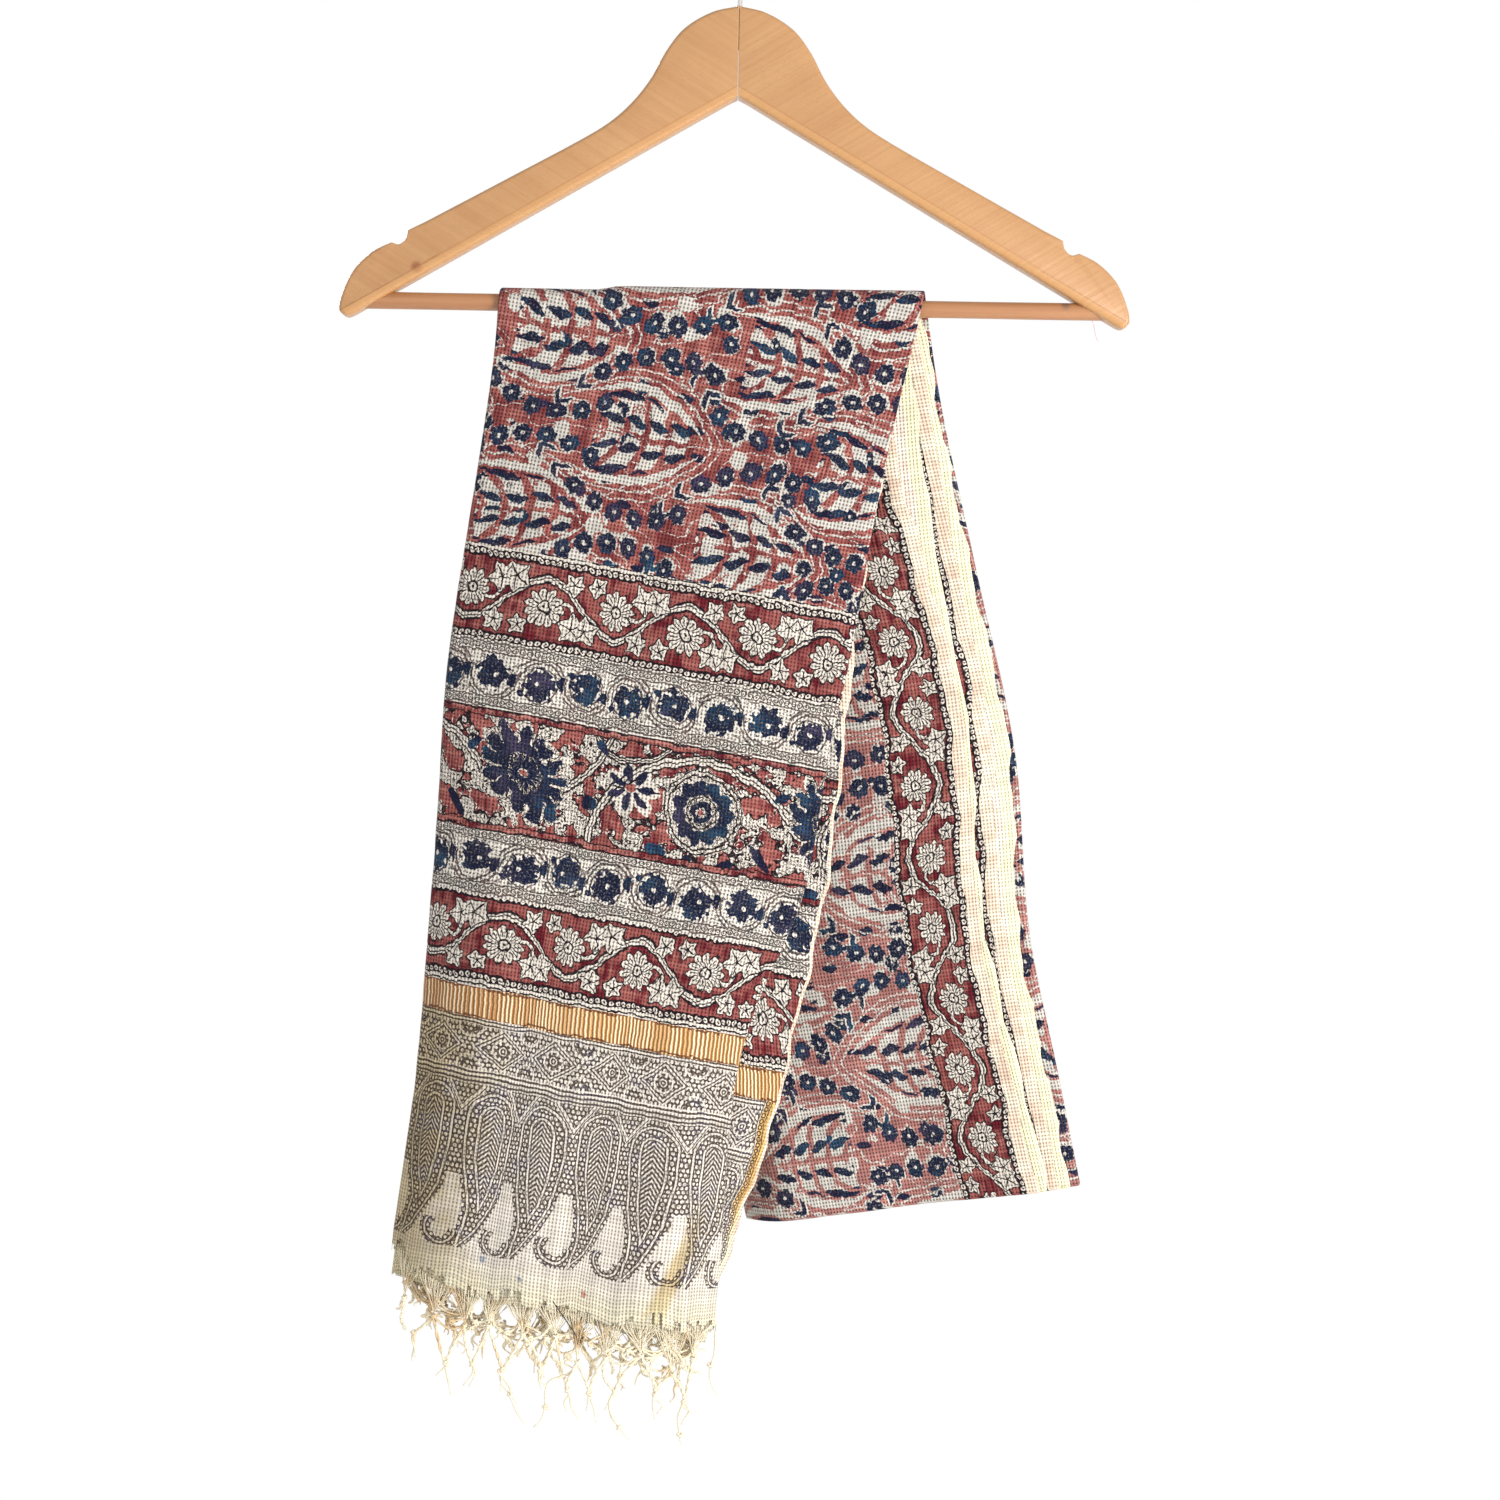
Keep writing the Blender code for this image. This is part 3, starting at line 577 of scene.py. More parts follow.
def relief(across, layer, from_hem):
    """Creases, fine crinkles that fade near the bar, and the loose lobe on top of it."""
    at_bar = LEFT_AT_BAR + across / QUARTER * (RIGHT_AT_BAR - LEFT_AT_BAR)
    away = np.abs(from_hem - at_bar)
    side = np.where(from_hem < at_bar, 1, -1)
    free = ease(away / CRINKLE_FREE)
    crinkle = (np.sin(across * 171 + 9 * np.sin(from_hem * 23)) * np.sin(from_hem * 97 + 3 * side)
               + 0.6 * np.sin(across * 301 - from_hem * 143 + 2 * side)) * CRINKLE
    lobe = (LOBE_RISE * layer / (LAYERS - 1) * ease((across - LOBE_FROM) / LOBE_GROWS)
            * (1 - ease(away / LOBE_WITHIN)))
    return (crease_lift(across, from_hem, side) + crinkle) * free + lobe


# The fourth quarter of the outer half has slipped down towards its selvedge.
SLIPPED_LAYER = 3
SLIP = 21.0 * MM
SLIP_AT_HEM = 8.0 * MM
SLIP_GROWS = 150.0 * MM
SLIP_FADES = 420.0 * MM


def slip(across, layer, from_hem):
    """How much lower a point hangs: its share across, eased, growing and then fading upwards."""
    size = SLIP_AT_HEM + (SLIP - SLIP_AT_HEM) * ease(from_hem / SLIP_GROWS)
    down = size * ease(across / QUARTER) * ease((SLIP_FADES - from_hem) / SLIP_FADES * 1.2)
    return np.where(layer == SLIPPED_LAYER, down, 0.0)


print("deepest crease", min(row[6] for row in CREASES), "mm")

# %% [markdown]
# ## The cloth as one grid
# The cloth is one surface of two parameters: the way across its width, selvedge to selvedge
# through all four layers, and the way along its length, hem to hem. So its mesh is a single
# grid. Columns stand close together along the selvedges, where the lengthwise border is
# printed, and rows stand on the edges of the printed bands, so that each face belongs to
# exactly one kind of print.

# %% Columns and rows
EDGE_STEPS = (0.0, 2.0, 8.0, 14.0, 21.0, 28.0, 35.0, 42.0, 49.5)  # from a selvedge, in mm
SELVEDGE_WIDTH = 8.0
BORDER_END = 49.5
FOLD_STEPS = {"left": 8, "right": 6, "small": 4}


def column_list(half):
    """Each column as (kind, value, layer).

    Kinds e1 and e4 count in mm from a selvedge; m1, m2 and m4 are shares of the way from the
    left fold; l and r are reaches past the left and right fold, in pitches.
    """
    first, second, third, fourth = (0, 7, 4, 3) if half == "T" else (1, 6, 5, 2)

    def arc(kind, centre, start, steps):
        angle = np.pi * np.arange(1, steps) / steps
        side = -1 if kind == "l" else 1
        reach = start - centre
        return [(kind, side * abs(reach) * math.sin(t), centre + reach * math.cos(t))
                for t in angle]

    columns = [("e1", e, first) for e in EDGE_STEPS]
    columns += [("m1", 1 - k / 26, first) for k in range(1, 27)]
    columns += arc("l", 3.5, first, FOLD_STEPS["left"])
    columns += [("m2", k / 44, second) for k in range(45)]
    columns += arc("r", 5.5, second, FOLD_STEPS["right"])
    columns += [("m2", 1 - k / 12, third) for k in range(13)]
    columns += arc("l", 3.5, third, FOLD_STEPS["small"])
    columns += [("m4", k / 9, fourth) for k in range(9)]
    columns += [("e4", e, fourth) for e in reversed(EDGE_STEPS)]
    return columns


def row_stops(fine):
    """Lengths from the hem in mm: (stop, cells up to it) pairs laid out evenly."""
    stops = ((25, 4), (118, 14), (154, 6), (171, 3), (178, 1), (222, 7), (258, 6), (326, 10),
             (363, 6), (416, 8), (540, 19), (642, 46), (1100, 58), (1120, 4))
    rows = [np.array([0.0])]
    last = 0.0
    for stop, cells in stops:
        count = cells if fine else max(1, (cells + 1) // 2)
        rows.append(last + (stop - last) * np.arange(1, count + 1) / count)
        last = stop
    return np.concatenate(rows) * MM


T_ROWS = row_stops(True)
U_ROWS = row_stops(False)
COLUMNS = {half: column_list(half) for half in "TU"}
print("columns", len(COLUMNS["T"]), "rows", len(T_ROWS) + len(U_ROWS))

# %% [markdown]
# The selvedges of a thin cloth never hang straight: they were tight on the loom and buckle
# when they are free. We let each edge wander by about a millimetre, faster where it is
# narrow, with its own phase for each layer.

# %% Where each column runs
FAN_COLUMN = {"fold": 1, "T1": 2, "U1": 3, "U4": 4, "T4": 5}
PUCKERS_BELOW = 150.0 * MM
EDGE_WAVE = 1.1 * MM
HEM_WAVE = 1.3 * MM
HEM_WAVE_WITHIN = 45.0 * MM


def fan(name, from_hem):
    """Place across the bundle of the right fold or of one selvedge."""
    return QUARTER + smooth_rows(FAN, FAN_COLUMN[name], from_hem) * MM


def edge_wave(name, from_hem):
    """Two sines of the length, with a phase from the edge's place in the list."""
    phase = 1.7 * (FAN_COLUMN[name] - 1)
    return (np.sin(from_hem * 118 + phase) + 0.6 * np.sin(from_hem * 263 - 2 * phase)) * EDGE_WAVE


def pitch_at(from_hem):
    """The way from one layer's middle to the next one's."""
    return lift_of(1.0, from_hem) - lift_of(0.0, from_hem)


def across_at(half, column, from_hem):
    """Place across the bundle of one column, for each length from the hem."""
    kind, value, _ = column
    if kind in "lr":
        return value * pitch_at(from_hem) + (fan("fold", from_hem) if kind == "r" else 0.0)
    if kind == "m2":
        return value * fan("fold", from_hem)
    edge = fan(half + kind[1], from_hem) + edge_wave(half + kind[1], from_hem)
    return edge - value * MM if kind[0] == "e" else value * (edge - EDGE_STEPS[-1] * MM)


def width_at(half, columns, across, from_hem):
    """Distance across the cloth from its first selvedge, as cut.

    The free quarters pucker near the hem: they hang narrower there than they were cut. The
    columns of a turn share out the way between the quarters at both its sides.
    """
    cut = np.maximum(from_hem, PUCKERS_BELOW)
    first, last, fold = fan(half + "1", cut), fan(half + "4", cut), fan("fold", from_hem)
    hung_first, hung_last = fan(half + "1", from_hem), fan(half + "4", from_hem)
    ways = (lambda a: first * (1 - a / hung_first), lambda a: first + a,
            lambda a: first + 2 * fold - a, lambda a: first + 2 * fold + a * last / hung_last)
    turning = np.array([c[0] in "lr" for c in columns])
    quarter = np.cumsum(np.diff(turning, prepend=False) & turning)
    known = np.stack([ways[q](a) for q, a, t in zip(quarter, across, turning) if not t], axis=1)
    ready, every = np.flatnonzero(~turning), np.arange(len(columns))
    low = np.searchsorted(ready, every, side="right") - 1
    high = np.minimum(low + 1, len(ready) - 1)
    share = (every - ready[low]) / np.maximum(ready[high] - ready[low], 1)
    return known[:, low] + (known[:, high] - known[:, low]) * share


def round_the_folds(points, width, columns):
    """Adds the way round each side fold to the width, so that the print runs round it too.

    The second quarter keeps its place, and the others move along by what was added.
    """
    turning = np.array([c[0] in "lr" for c in columns])
    step = np.linalg.norm(np.diff(points, axis=1), axis=2) * (turning[1:] | turning[:-1])
    added = np.concatenate([np.zeros((len(points), 1)), np.cumsum(step, axis=1)], axis=1)
    second_starts = [c[0] for c in columns].index("m2")
    return width + added - added[:, second_starts, None]


def hem_wave(across, layer, from_hem):
    """How far a hem is drawn up, by two sines whose phase differs from layer to layer."""
    wave = 1.5 + np.sin(across * 150 + layer * 2.1) + 0.5 * np.sin(across * 331 + layer)
    return wave * HEM_WAVE * (1 - ease(from_hem / HEM_WAVE_WITHIN))


def half_grid(half, rows):
    """Points and cloth coordinates of one half: rows along it, columns across it."""
    columns = COLUMNS[half]
    across = [across_at(half, c, rows) for c in columns]
    width = width_at(half, columns, across, rows)
    across = np.stack(across, axis=1)
    layer = np.array([c[2] for c in columns])[None, :]
    length = np.broadcast_to(rows[:, None], across.shape)
    down = slip(across, layer, length) - hem_wave(across, layer, length)
    points = hang(across, layer, length, relief(across, layer, length), down)
    width = round_the_folds(points, width, columns)
    return points, width, length, across, np.broadcast_to(layer, across.shape)


print("selvedge wander at the bar", edge_wave("T4", 0.58).round(5))

# %% [markdown]
# Now the two halves are joined round the lengthwise fold at the back panel's foot. The UV
# map gets the cloth's own coordinates in metres: u from one selvedge to the other and v
# from one hem to the other. Print, weave and stains will all be read from it, so they
# follow every fold. Solidify gives the gauze its thickness, and its material offset puts
# the paler wrong side on the inner face.

# %% The cloth
CLOTH_THICKNESS = 0.28 * MM
END_FOLD_STEPS = 5
REGIONS = ("field", "long_border", "vine_band", "cream_band", "grand_band", "gold_stripe",
           "end_panel", "plain_end", "selvedge", "wrong_side")
BANDS = (
    # up_to_mm, region
    (25, "plain_end"), (154, "end_panel"), (171, "gold_stripe"), (222, "vine_band"),
    (258, "cream_band"), (326, "grand_band"), (363, "cream_band"), (416, "vine_band"),
)
PLAIN_EDGE_FROM = 363.0  # below this, the print runs almost to the selvedge


def quads(rows, columns, closed=False):
    """Faces of a grid: each point with its neighbour to the right and the two above."""
    steps = columns if closed else columns - 1
    i, j = np.meshgrid(np.arange(rows - 1), np.arange(steps), indexing="ij")
    k = (j + 1) % columns
    corners = (i * columns + j, i * columns + k, (i + 1) * columns + k, (i + 1) * columns + j)
    return np.stack(corners, axis=-1).reshape(-1, 4)


def cloth_grid():
    """The whole grid: half T from its hem, the end fold, and half U back to its hem."""
    top = half_grid("T", T_ROWS)
    low = half_grid("U", U_ROWS[::-1])
    end_t = half_grid("T", np.array([HALF_LENGTH]))
    end_u = half_grid("U", np.array([HALF_LENGTH]))
    angle = np.pi * np.arange(1, END_FOLD_STEPS) / END_FOLD_STEPS
    share = ((1 - np.cos(angle)) / 2)[:, None]
    across = end_t[3] * (1 - share) + end_u[3] * share
    layer = end_t[4] * (1 - share) + end_u[4] * share
    down = pitch_at(HALF_LENGTH) / 2 * np.sin(angle)[:, None]
    fold = hang(across, layer, HALF_LENGTH, relief(across, layer, HALF_LENGTH), down)
    fold_width = end_t[1] * (1 - share) + end_u[1] * share
    points = np.concatenate([top[0], fold, low[0]])
    width = np.concatenate([top[1], fold_width, low[1]])
    fold_length = np.full_like(fold_width, HALF_LENGTH)
    length = np.concatenate([top[2], fold_length, 2 * HALF_LENGTH - low[2]])
    return points, width, length


def region_of(width, length, total_width):
    """Number of the region at each face's middle, from its distance to hem and selvedge."""
    from_hem = np.minimum(length, 2 * HALF_LENGTH - length) / MM
    from_edge = np.minimum(width, total_width - width) / MM
    region = np.full(from_hem.shape, REGIONS.index("field"))
    region[from_edge < BORDER_END] = REGIONS.index("long_border")
    for limit, name in reversed(BANDS):
        region[from_hem < limit] = REGIONS.index(name)
    margin = np.where(from_hem > PLAIN_EDGE_FROM, SELVEDGE_WIDTH, EDGE_STEPS[1])
    region[(from_edge < margin) & (from_hem > BANDS[0][0])] = REGIONS.index("selvedge")
    return region


def set_uv(mesh, name, u, v):
    """Puts one pair of coordinates for each vertex into a UV map, corner by corner."""
    corner = np.empty(len(mesh.loops), dtype=np.int32)
    mesh.loops.foreach_get("vertex_index", corner)
    pairs = np.stack([u.ravel(), v.ravel()], axis=-1).astype(np.float32)
    mesh.uv_layers.new(name=name).data.foreach_set("uv", pairs[corner].ravel())


def make_cloth():
    """The grid as a mesh with both UV maps, a region for each face, and a thickness."""
    points, width, length = cloth_grid()
    faces = quads(*width.shape)
    cloth = mesh_object("dupatta", points, faces.tolist())
    mesh = cloth.data
    set_uv(mesh, "cloth", width, length)
    width = width - width[:, :1]
    total = np.broadcast_to(width[:, -1:], width.shape)
    set_uv(mesh, "edge", np.minimum(width, total - width), length)
    middle = [a.ravel()[faces].mean(axis=1) for a in (width, length, total)]
    mesh.polygons.foreach_set("material_index", region_of(*middle).astype(np.int32))
    gauze = cloth.modifiers.new("gauze", "SOLIDIFY")
    gauze.thickness = CLOTH_THICKNESS
    gauze.offset = 0.0
    gauze.material_offset = gauze.material_offset_rim = len(REGIONS)
    print("cloth", width.shape, "points, width", total.min().round(3), "to", total.max().round(3))
    return cloth


cloth = make_cloth()

# %% [markdown]
# ## Dyes and weave
# Kalamkari cotton is printed with wooden blocks in a few dyes, on an open weave with a thread
# every two millimetres. So the print is never sharp: it stops at a thread, it skips the pin
# holes, and each thread takes the dye a little differently. We bend the pattern's coordinates
# thread by thread for that, add a slow wander for the hand that carved the block, and at the
# end paint shade into the pin holes and the gaps between threads: dark spots and lines that
# stand in for the shaded layers seen through them. In the drawings that follow, bare numbers
# are millimetres on the cloth, or shares from 0 to 1.

# %% Dyes
CREAM = daylight(238, 229, 217)
FIELD_CREAM = daylight(220, 214, 205)
RED = daylight(171, 97, 91)
PALE_RED = daylight(204, 148, 136)
DEEP_RED = daylight(106, 22, 36)
NAVY = daylight(10, 22, 56)
DUSK = daylight(66, 58, 90)
TEAL = daylight(34, 76, 108)
OUTLINE = daylight(30, 18, 28)
GOLD = daylight(212, 160, 96)
BROWN_GOLD = daylight(158, 104, 56)
# painted highlight for the crests of the gold ribs
PAINTED_GOLD_HIGHLIGHT = daylight(266, 252, 220)
PALE_YELLOW = daylight(274, 266, 226)
TAN = daylight(206, 186, 146)
PITCH = 2.1  # between threads, in mm


class Print(Finish):
    """A finish of the cloth: coordinates in mm bent to the threads, and the weave over it."""

    def __init__(self, name, wander=1.0, roughness=0.92):
        super().__init__(name, roughness, Specular_IOR_Level=0.15, Sheen_Weight=0.05)
        u, v, _ = self.parts(self.node("ShaderNodeUVMap", {"uv_map": "cloth"}))
        self.u = u * 1000.0
        self.v = v * 1000.0
        self.flat = self.point(self.u, self.v)
        self.warp = self.chance(floor_of(self.u / PITCH))
        self.weft = self.chance(floor_of(self.v / PITCH) + 0.37)
        slow_u, slow_v, _ = self.parts(self.noise(self.flat, 0.045, 1.0, 1))
        quick_u, quick_v, _ = self.parts(self.noise(self.flat, 0.22, 1.0, 1))
        bent_u = (self.weft - 0.5) * 0.9 + (quick_u - 0.5) * 2.2
        bent_v = (self.warp - 0.5) * 1.2 + (quick_v - 0.5) * 2.2
        self.x = self.u + bent_u * wander + (slow_u - 0.5) * 4.0
        self.y = self.v + bent_v * wander + (slow_v - 0.5) * 4.0
        self.from_hem = self.math("MINIMUM", self.y, 2 * HALF_LENGTH / MM - self.y)
        self.blot = self.noise(self.flat, 0.07, 3.0)
        self.fine = self.noise(self.flat, 0.8, 2.0)

    def from_edge(self):
        """Distance in mm to the nearer selvedge, from the second UV map."""
        edge, _, _ = self.parts(self.node("ShaderNodeUVMap", {"uv_map": "edge"}))
        return edge * 1000.0

    def red(self, amount):
        """Madder red that pools in streaks along the warp, and pales in patches of fine noise, weft
        by weft.
        """
        streak = self.noise(self.point(self.u, self.v * 0.13), 0.34)
        pale = self.grade(self.fine + (self.weft - 0.5) * 0.3, 0.5, 0.74, 0.0, 0.6)
        pools = self.grade(self.blot * 0.6 + streak * 0.4, 0.45, 0.6, 0.0, amount)
        return self.lay(RED, (pale, PALE_RED), (pools, DEEP_RED))

    def faded(self, mask, amount):
        """A printed mask that the threads took unevenly."""
        return mask & self.grade(self.fine, 0.28, 0.5, 1 - amount, 1.0)

    def navy(self):
        """Indigo: near black where it is thick, worn to teal or to a dusty violet."""
        worn = self.mix(self.grade(self.noise(self.flat, 0.021, 1.0), 0.44, 0.58), TEAL, DUSK)
        return self.mix(self.grade(self.blot + (self.fine - 0.5) * 0.8, 0.48, 0.74), NAVY, worn)

    def weave(self, colour, painted_hole_shade, ribs=0.0):
        """Painted shade in the pin holes where two gaps cross and in the gaps, a tone for each
        thread, and relief.
        """
        gap_u = abs((self.u / PITCH) % 1.0 - 0.5)
        gap_v = abs((self.v / PITCH) % 1.0 - 0.5)
        pin = self.grade(gap_u, 0.16, 0.36) & self.grade(gap_v, 0.16, 0.36)
        thread = (self.warp - 0.5) * 0.2 + (self.weft - 0.5) * 0.2 + (self.fine - 0.5) * 0.6
        # painted shade: the pin holes and the gaps between warps are darkened, standing in for the
        # shaded layers and hollows behind them
        thread_tone_and_painted_shade = (1.0 + thread) & (1.0 - pin * painted_hole_shade) & (1.0 - self.grade(gap_u, 0.24, 0.44) * 0.2)
        grey = self.node("ShaderNodeCombineColor", None, {0: thread_tone_and_painted_shade, 1: thread_tone_and_painted_shade, 2: thread_tone_and_painted_shade})
        self.feed("Base Color", self.mix(1.0, colour, grey, "MULTIPLY"))
        height = (1.0 - gap_u * gap_u * 2.4) + (1.0 - gap_v * gap_v * (2.4 + ribs)) - pin * 0.8
        self.bump(height, 0.00028)
        return self.material


print("thread pitch", PITCH, "mm")

# %% [markdown]
# ## The field
# The field is a lattice of pointed almonds in terracotta, cream and indigo. Each almond has a
# cream leaf along its edge, arched ribs inside with blue dashes between them, and a chain of
# small blue flowers outside. All of it is arcs of circles, so a few distances to fixed
# centres draw it. Two lattices, the second half a step off, fill the cloth, and a slow warp
# keeps any two almonds from being alike.

# %% Field
FIELD_CELL = (132.0, 109.0)
FIELD_SECOND = (74.0, 54.5)
FIELD_ORIGIN = (306.0, 490.0)
FIELD_WARP = 15.0
RIB_PITCH = 12.6
CHAIN_STEP = 12.6  # degrees from flower to flower
CHAIN_RADIUS = 62.7


def flower(f, x, y, radius):
    """Seven petals: the radius swells with a folded cosine of the angle."""
    r = f.length(x, y)
    edge = abs(cos(f.angle(x, y) * 3.5)) * (radius * 0.2) + radius * 0.92 + (f.fine - 0.5) * 2.0
    return r, r < edge, r < radius * 0.22


def almond(f, x, y):
    """Masks of cream and blue for one almond, whose halves mirror each other."""
    y = abs(y)
    p = f.point(x, y)
    outer, inner = f.distance(p, -9.9, -26.7), f.distance(p, -17.4, -54.7)
    leaf = (outer < 56.0) & (inner > 79.8)
    lines = (near(outer, 59.6, 0.6) | near(outer, 64.5, 0.5)) & (x > -33.0) & (f.fine > 0.42)
    shell = (outer < 56.6) & (x > -24.0)
    rho = (f.distance(p, -28.0, 0.0) - 9.0) / RIB_PITCH
    a = ((rho % 1.0) - 0.5) * RIB_PITCH
    segments = ((inner < 76.4) & shell & (abs(a) < 4.3) & (y > 1.6)
                & ((f.blot + f.fine * 0.4) > 0.58))
    b = wrap(y - 7.5, 6.6) + a * 0.25
    dash = abs(a) / 6.8 + abs(b) / 3.8 + f.length(a / 5.8, b / 3.0) < 1.9
    ring_x, ring_y = x - 4.8, y + 16.5
    turn = f.angle(ring_x, ring_y) * (180.0 / math.pi)
    step = (turn - 54.5) / CHAIN_STEP
    cell = floor_of(step)
    along = (step - cell - 0.5) * (CHAIN_STEP * math.pi / 180 * CHAIN_RADIUS)
    radial = f.length(ring_x, ring_y) - CHAIN_RADIUS
    in_chain = (cell > -0.5) & (cell < 5.5)
    r, petals, eye = flower(f, along, radial, 5.2)
    halo = in_chain & (r + (f.blot - 0.5) * 18.0 + (f.fine - 0.5) * 5.0 < 5.2)
    hooks = (cell > 5.5) & (cell < 7.5)
    bend = abs(radial) * 0.9 + along
    around = near(bend, 1.0, 3.0) & (abs(radial) < 6.5)
    bent = near(bend, 1.0, 1.7) & (abs(radial) < 5.5)
    cream = leaf | lines | segments | halo | (hooks & around)
    return cream, ((inner < 78.5) & shell & dash) | (in_chain & petals & ~eye) | (hooks & bent)


def scatter(f, cell_x=21.0, cell_y=17.0):
    """Loose flowers and seeds: one to a cell, pushed off its middle by the cell's own chance."""
    row = floor_of(f.y / cell_y)
    shifted = f.x / cell_x + row * 0.5
    key = floor_of(shifted) * 7.13 + row * 31.7 + 3.0
    dx = (shifted - floor_of(shifted) - 0.5) * cell_x + (f.chance(key) - 0.5) * 7.0
    dy = (f.y / cell_y - row - 0.5) * cell_y + (f.chance(key + 0.41) - 0.5) * 6.0
    return dx, dy, f.chance(key + 0.77)


def field_print():
    f = Print("field")
    warp_u, warp_v, _ = f.parts(f.noise(f.flat, 0.016, 1.0, 1))
    x = f.x - FIELD_ORIGIN[0] + (warp_u - 0.5) * FIELD_WARP
    y = f.y - FIELD_ORIGIN[1] + (warp_v - 0.5) * FIELD_WARP
    across, along = FIELD_CELL[0] / 2, FIELD_CELL[1] / 2
    one = almond(f, wrap(x, across), wrap(y, along))
    two = almond(f, wrap(x - FIELD_SECOND[0], across), wrap(y - FIELD_SECOND[1], along))
    cream, blue = one[0] | two[0], one[1] | two[1]
    dx, dy, kind = scatter(f)
    r, petals, eye = flower(f, dx, dy, 4.2)
    seed = f.length(dx + dy * 0.4, dy * 2.2) < 5.0
    streak = near((f.noise(f.point(x * 0.5, y), 0.045, 1.0) * 7.0) % 1.0, 0.5, 0.045)
    free = ~cream
    spots = ((r + (f.blot - 0.5) * 12.0 < 4.6) & (kind < 0.5)) | eye
    cream = cream | (free & (spots | (streak & (f.fine > 0.46))))
    blue = blue | (free & ((petals & ~eye & (kind < 0.3)) | (seed & (kind > 0.66))))
    # the red is laid paler from 620 to 700 mm along the cloth onwards: the back panel and the whole
    # inner half
    colour = f.lay(f.red(0.7), (f.grade(f.v, 620.0, 700.0, 0.0, 0.45), daylight(206, 156, 148)),
                   (f.faded(cream, 0.12), FIELD_CREAM), (f.faded(blue, 0.3), f.navy()))
    return f.weave(colour, 0.62)


dress(cloth, field_print())

# %% [markdown]
# ## The running vine
# The red borders carry a cream vine that waves from side to side, with a round flower in each
# bend and leaves on the outside of it. Every second bend is the mirror image of the first,
# so one half wave is drawn and its sign flipped. The same drawing serves the bands across
# the ends and, a little smaller, the borders along the selvedges.

# %% Vine
def ivy_leaf(f, x, y, centre_x, centre_y, size, degrees):
    """Five pointed lobes: the radius falls with a folded sine of the angle; veins between."""
    dx, dy = x - centre_x, y - centre_y
    r = f.length(dx, dy)
    fall = abs(sin((f.angle(dx, dy) - math.radians(degrees)) * 2.5))
    edge = size * 1.14 - fall * (size * 0.38)
    mask = r < edge
    return mask, mask & (((fall * r < 0.9) & (r < edge - 2.2)) | near(r - edge, 0.0, 1.0))


def many_petals(f, x, y, radius, petals):
    """A round flower: notched rim, a dark line between petals, a vein in each, a ringed eye."""
    r = f.length(x, y)
    fold = abs(cos(f.angle(x, y) * petals))
    edge = fold * (radius * 0.26) + radius * 0.8 + (f.fine - 0.5) * 1.6
    mask = r < edge
    veins = (fold > 0.97) & near(r, radius * 0.62, radius * 0.18)
    lines = ((fold < 0.3) & (r > radius * 0.26)) | veins | near(r, radius * 0.28, 0.6)
    return mask, mask & (lines | near(r - edge, 0.0, 1.1) | (r < 0.9))


def vine(f, along, aside, half_wave, size):
    """Cream and outline masks of the vine; size scales the flower and the leaves."""
    cell = floor_of(along / half_wave)
    flip = 1.0 - (cell % 2.0) * 2.0
    x = (along - cell * half_wave) / size
    y = aside * flip / size
    h = half_wave / size
    away = y - sin(x * (math.pi / h)) * 13.5
    cream = abs(away) < 2.5
    dark = near(abs(away), 2.4, 0.7) | near(away, 0.3, 0.4)
    leaves = ((3.5, 12.2, 8.6, 50.0), (h - 5.5, 13.0, 7.2, 130.0),
              (h - 4.0, -11.6, 8.6, 20.0), (8.0, -14.0, 6.2, 100.0))
    for leaf in leaves:
        mask, veins = ivy_leaf(f, x, y, *leaf)
        cream, dark = cream | mask, (dark & ~mask) | veins
    curl = f.length(x - h / 2 - 11.5, y + 4.5)
    hook = near(curl, 5.6, 1.3) & (y > -6.0)
    hook_line = near(abs(curl - 5.6), 1.2, 0.35) & (y > -6.0)
    bloom, petals = many_petals(f, x - h / 2, y + 3.0, 11.2, 5.5)
    return cream | hook | bloom, ((dark | hook_line) & ~bloom) | petals


def bead_strip(f, along, s):
    """Beyond the vine: a dark rule, round beads on a dark ground, a white and a dark rule."""
    r = f.length(wrap(along, 1.85), s - 2.5)
    cream = ((r < 1.4) & (r > 0.5)) | near(s, 5.5, 0.75)
    dark = near(s, 0.2, 0.5) | (near(s, 2.5, 2.1) & ~cream) | near(s, 6.9, 0.5)
    return cream, dark


def vine_print(name, along_name, half_wave, size):
    """The vine on red between two beaded lines, across the cloth or along a selvedge."""
    f = Print(name)
    if along_name == "across":
        along, reach = f.x, 20.5
        aside = f.from_hem - 199.5 - (f.from_hem > 300.0) * 189.0
    else:
        along, reach = f.y, 16.6
        aside = f.from_edge() - 29.0 + (f.x - f.u)
    cream, dark = vine(f, along, aside, half_wave, size)
    s = abs(aside) - reach
    inside = s < 0.0
    bead_cream, bead_dark = bead_strip(f, along, s)
    cream = (inside & cream) | (~inside & (bead_cream | (s > 4.6)))
    dark = (inside & dark) | (~inside & bead_dark)
    threads = f.grade(f.fine + (f.warp - 0.5) * 0.2, 0.46, 0.72, 0.0, 0.6)
    return f.weave(f.lay(f.red(1.0), (threads, DEEP_RED), (f.faded(cream, 0.1), CREAM),
                         (f.faded(dark, 0.15), OUTLINE)), 0.55)


dress(cloth, vine_print("long_border", "along", 41.0, 0.88))
dress(cloth, vine_print("vine_band", "across", 42.0, 1.0))

# %% [markdown]
# ## The cream bands
# Between the red bands run two cream ones, edged with rows of small rings. A thin double vine
# winds over one navy blossom and under the next, as half circles about them, and fine
# scrolls fill the rest. Those scrolls are too small to place one by one, so they are contour
# lines of a noise, which look like the carver's close filling.

# %% Cream band
BLOSSOM_PITCH = 26.5


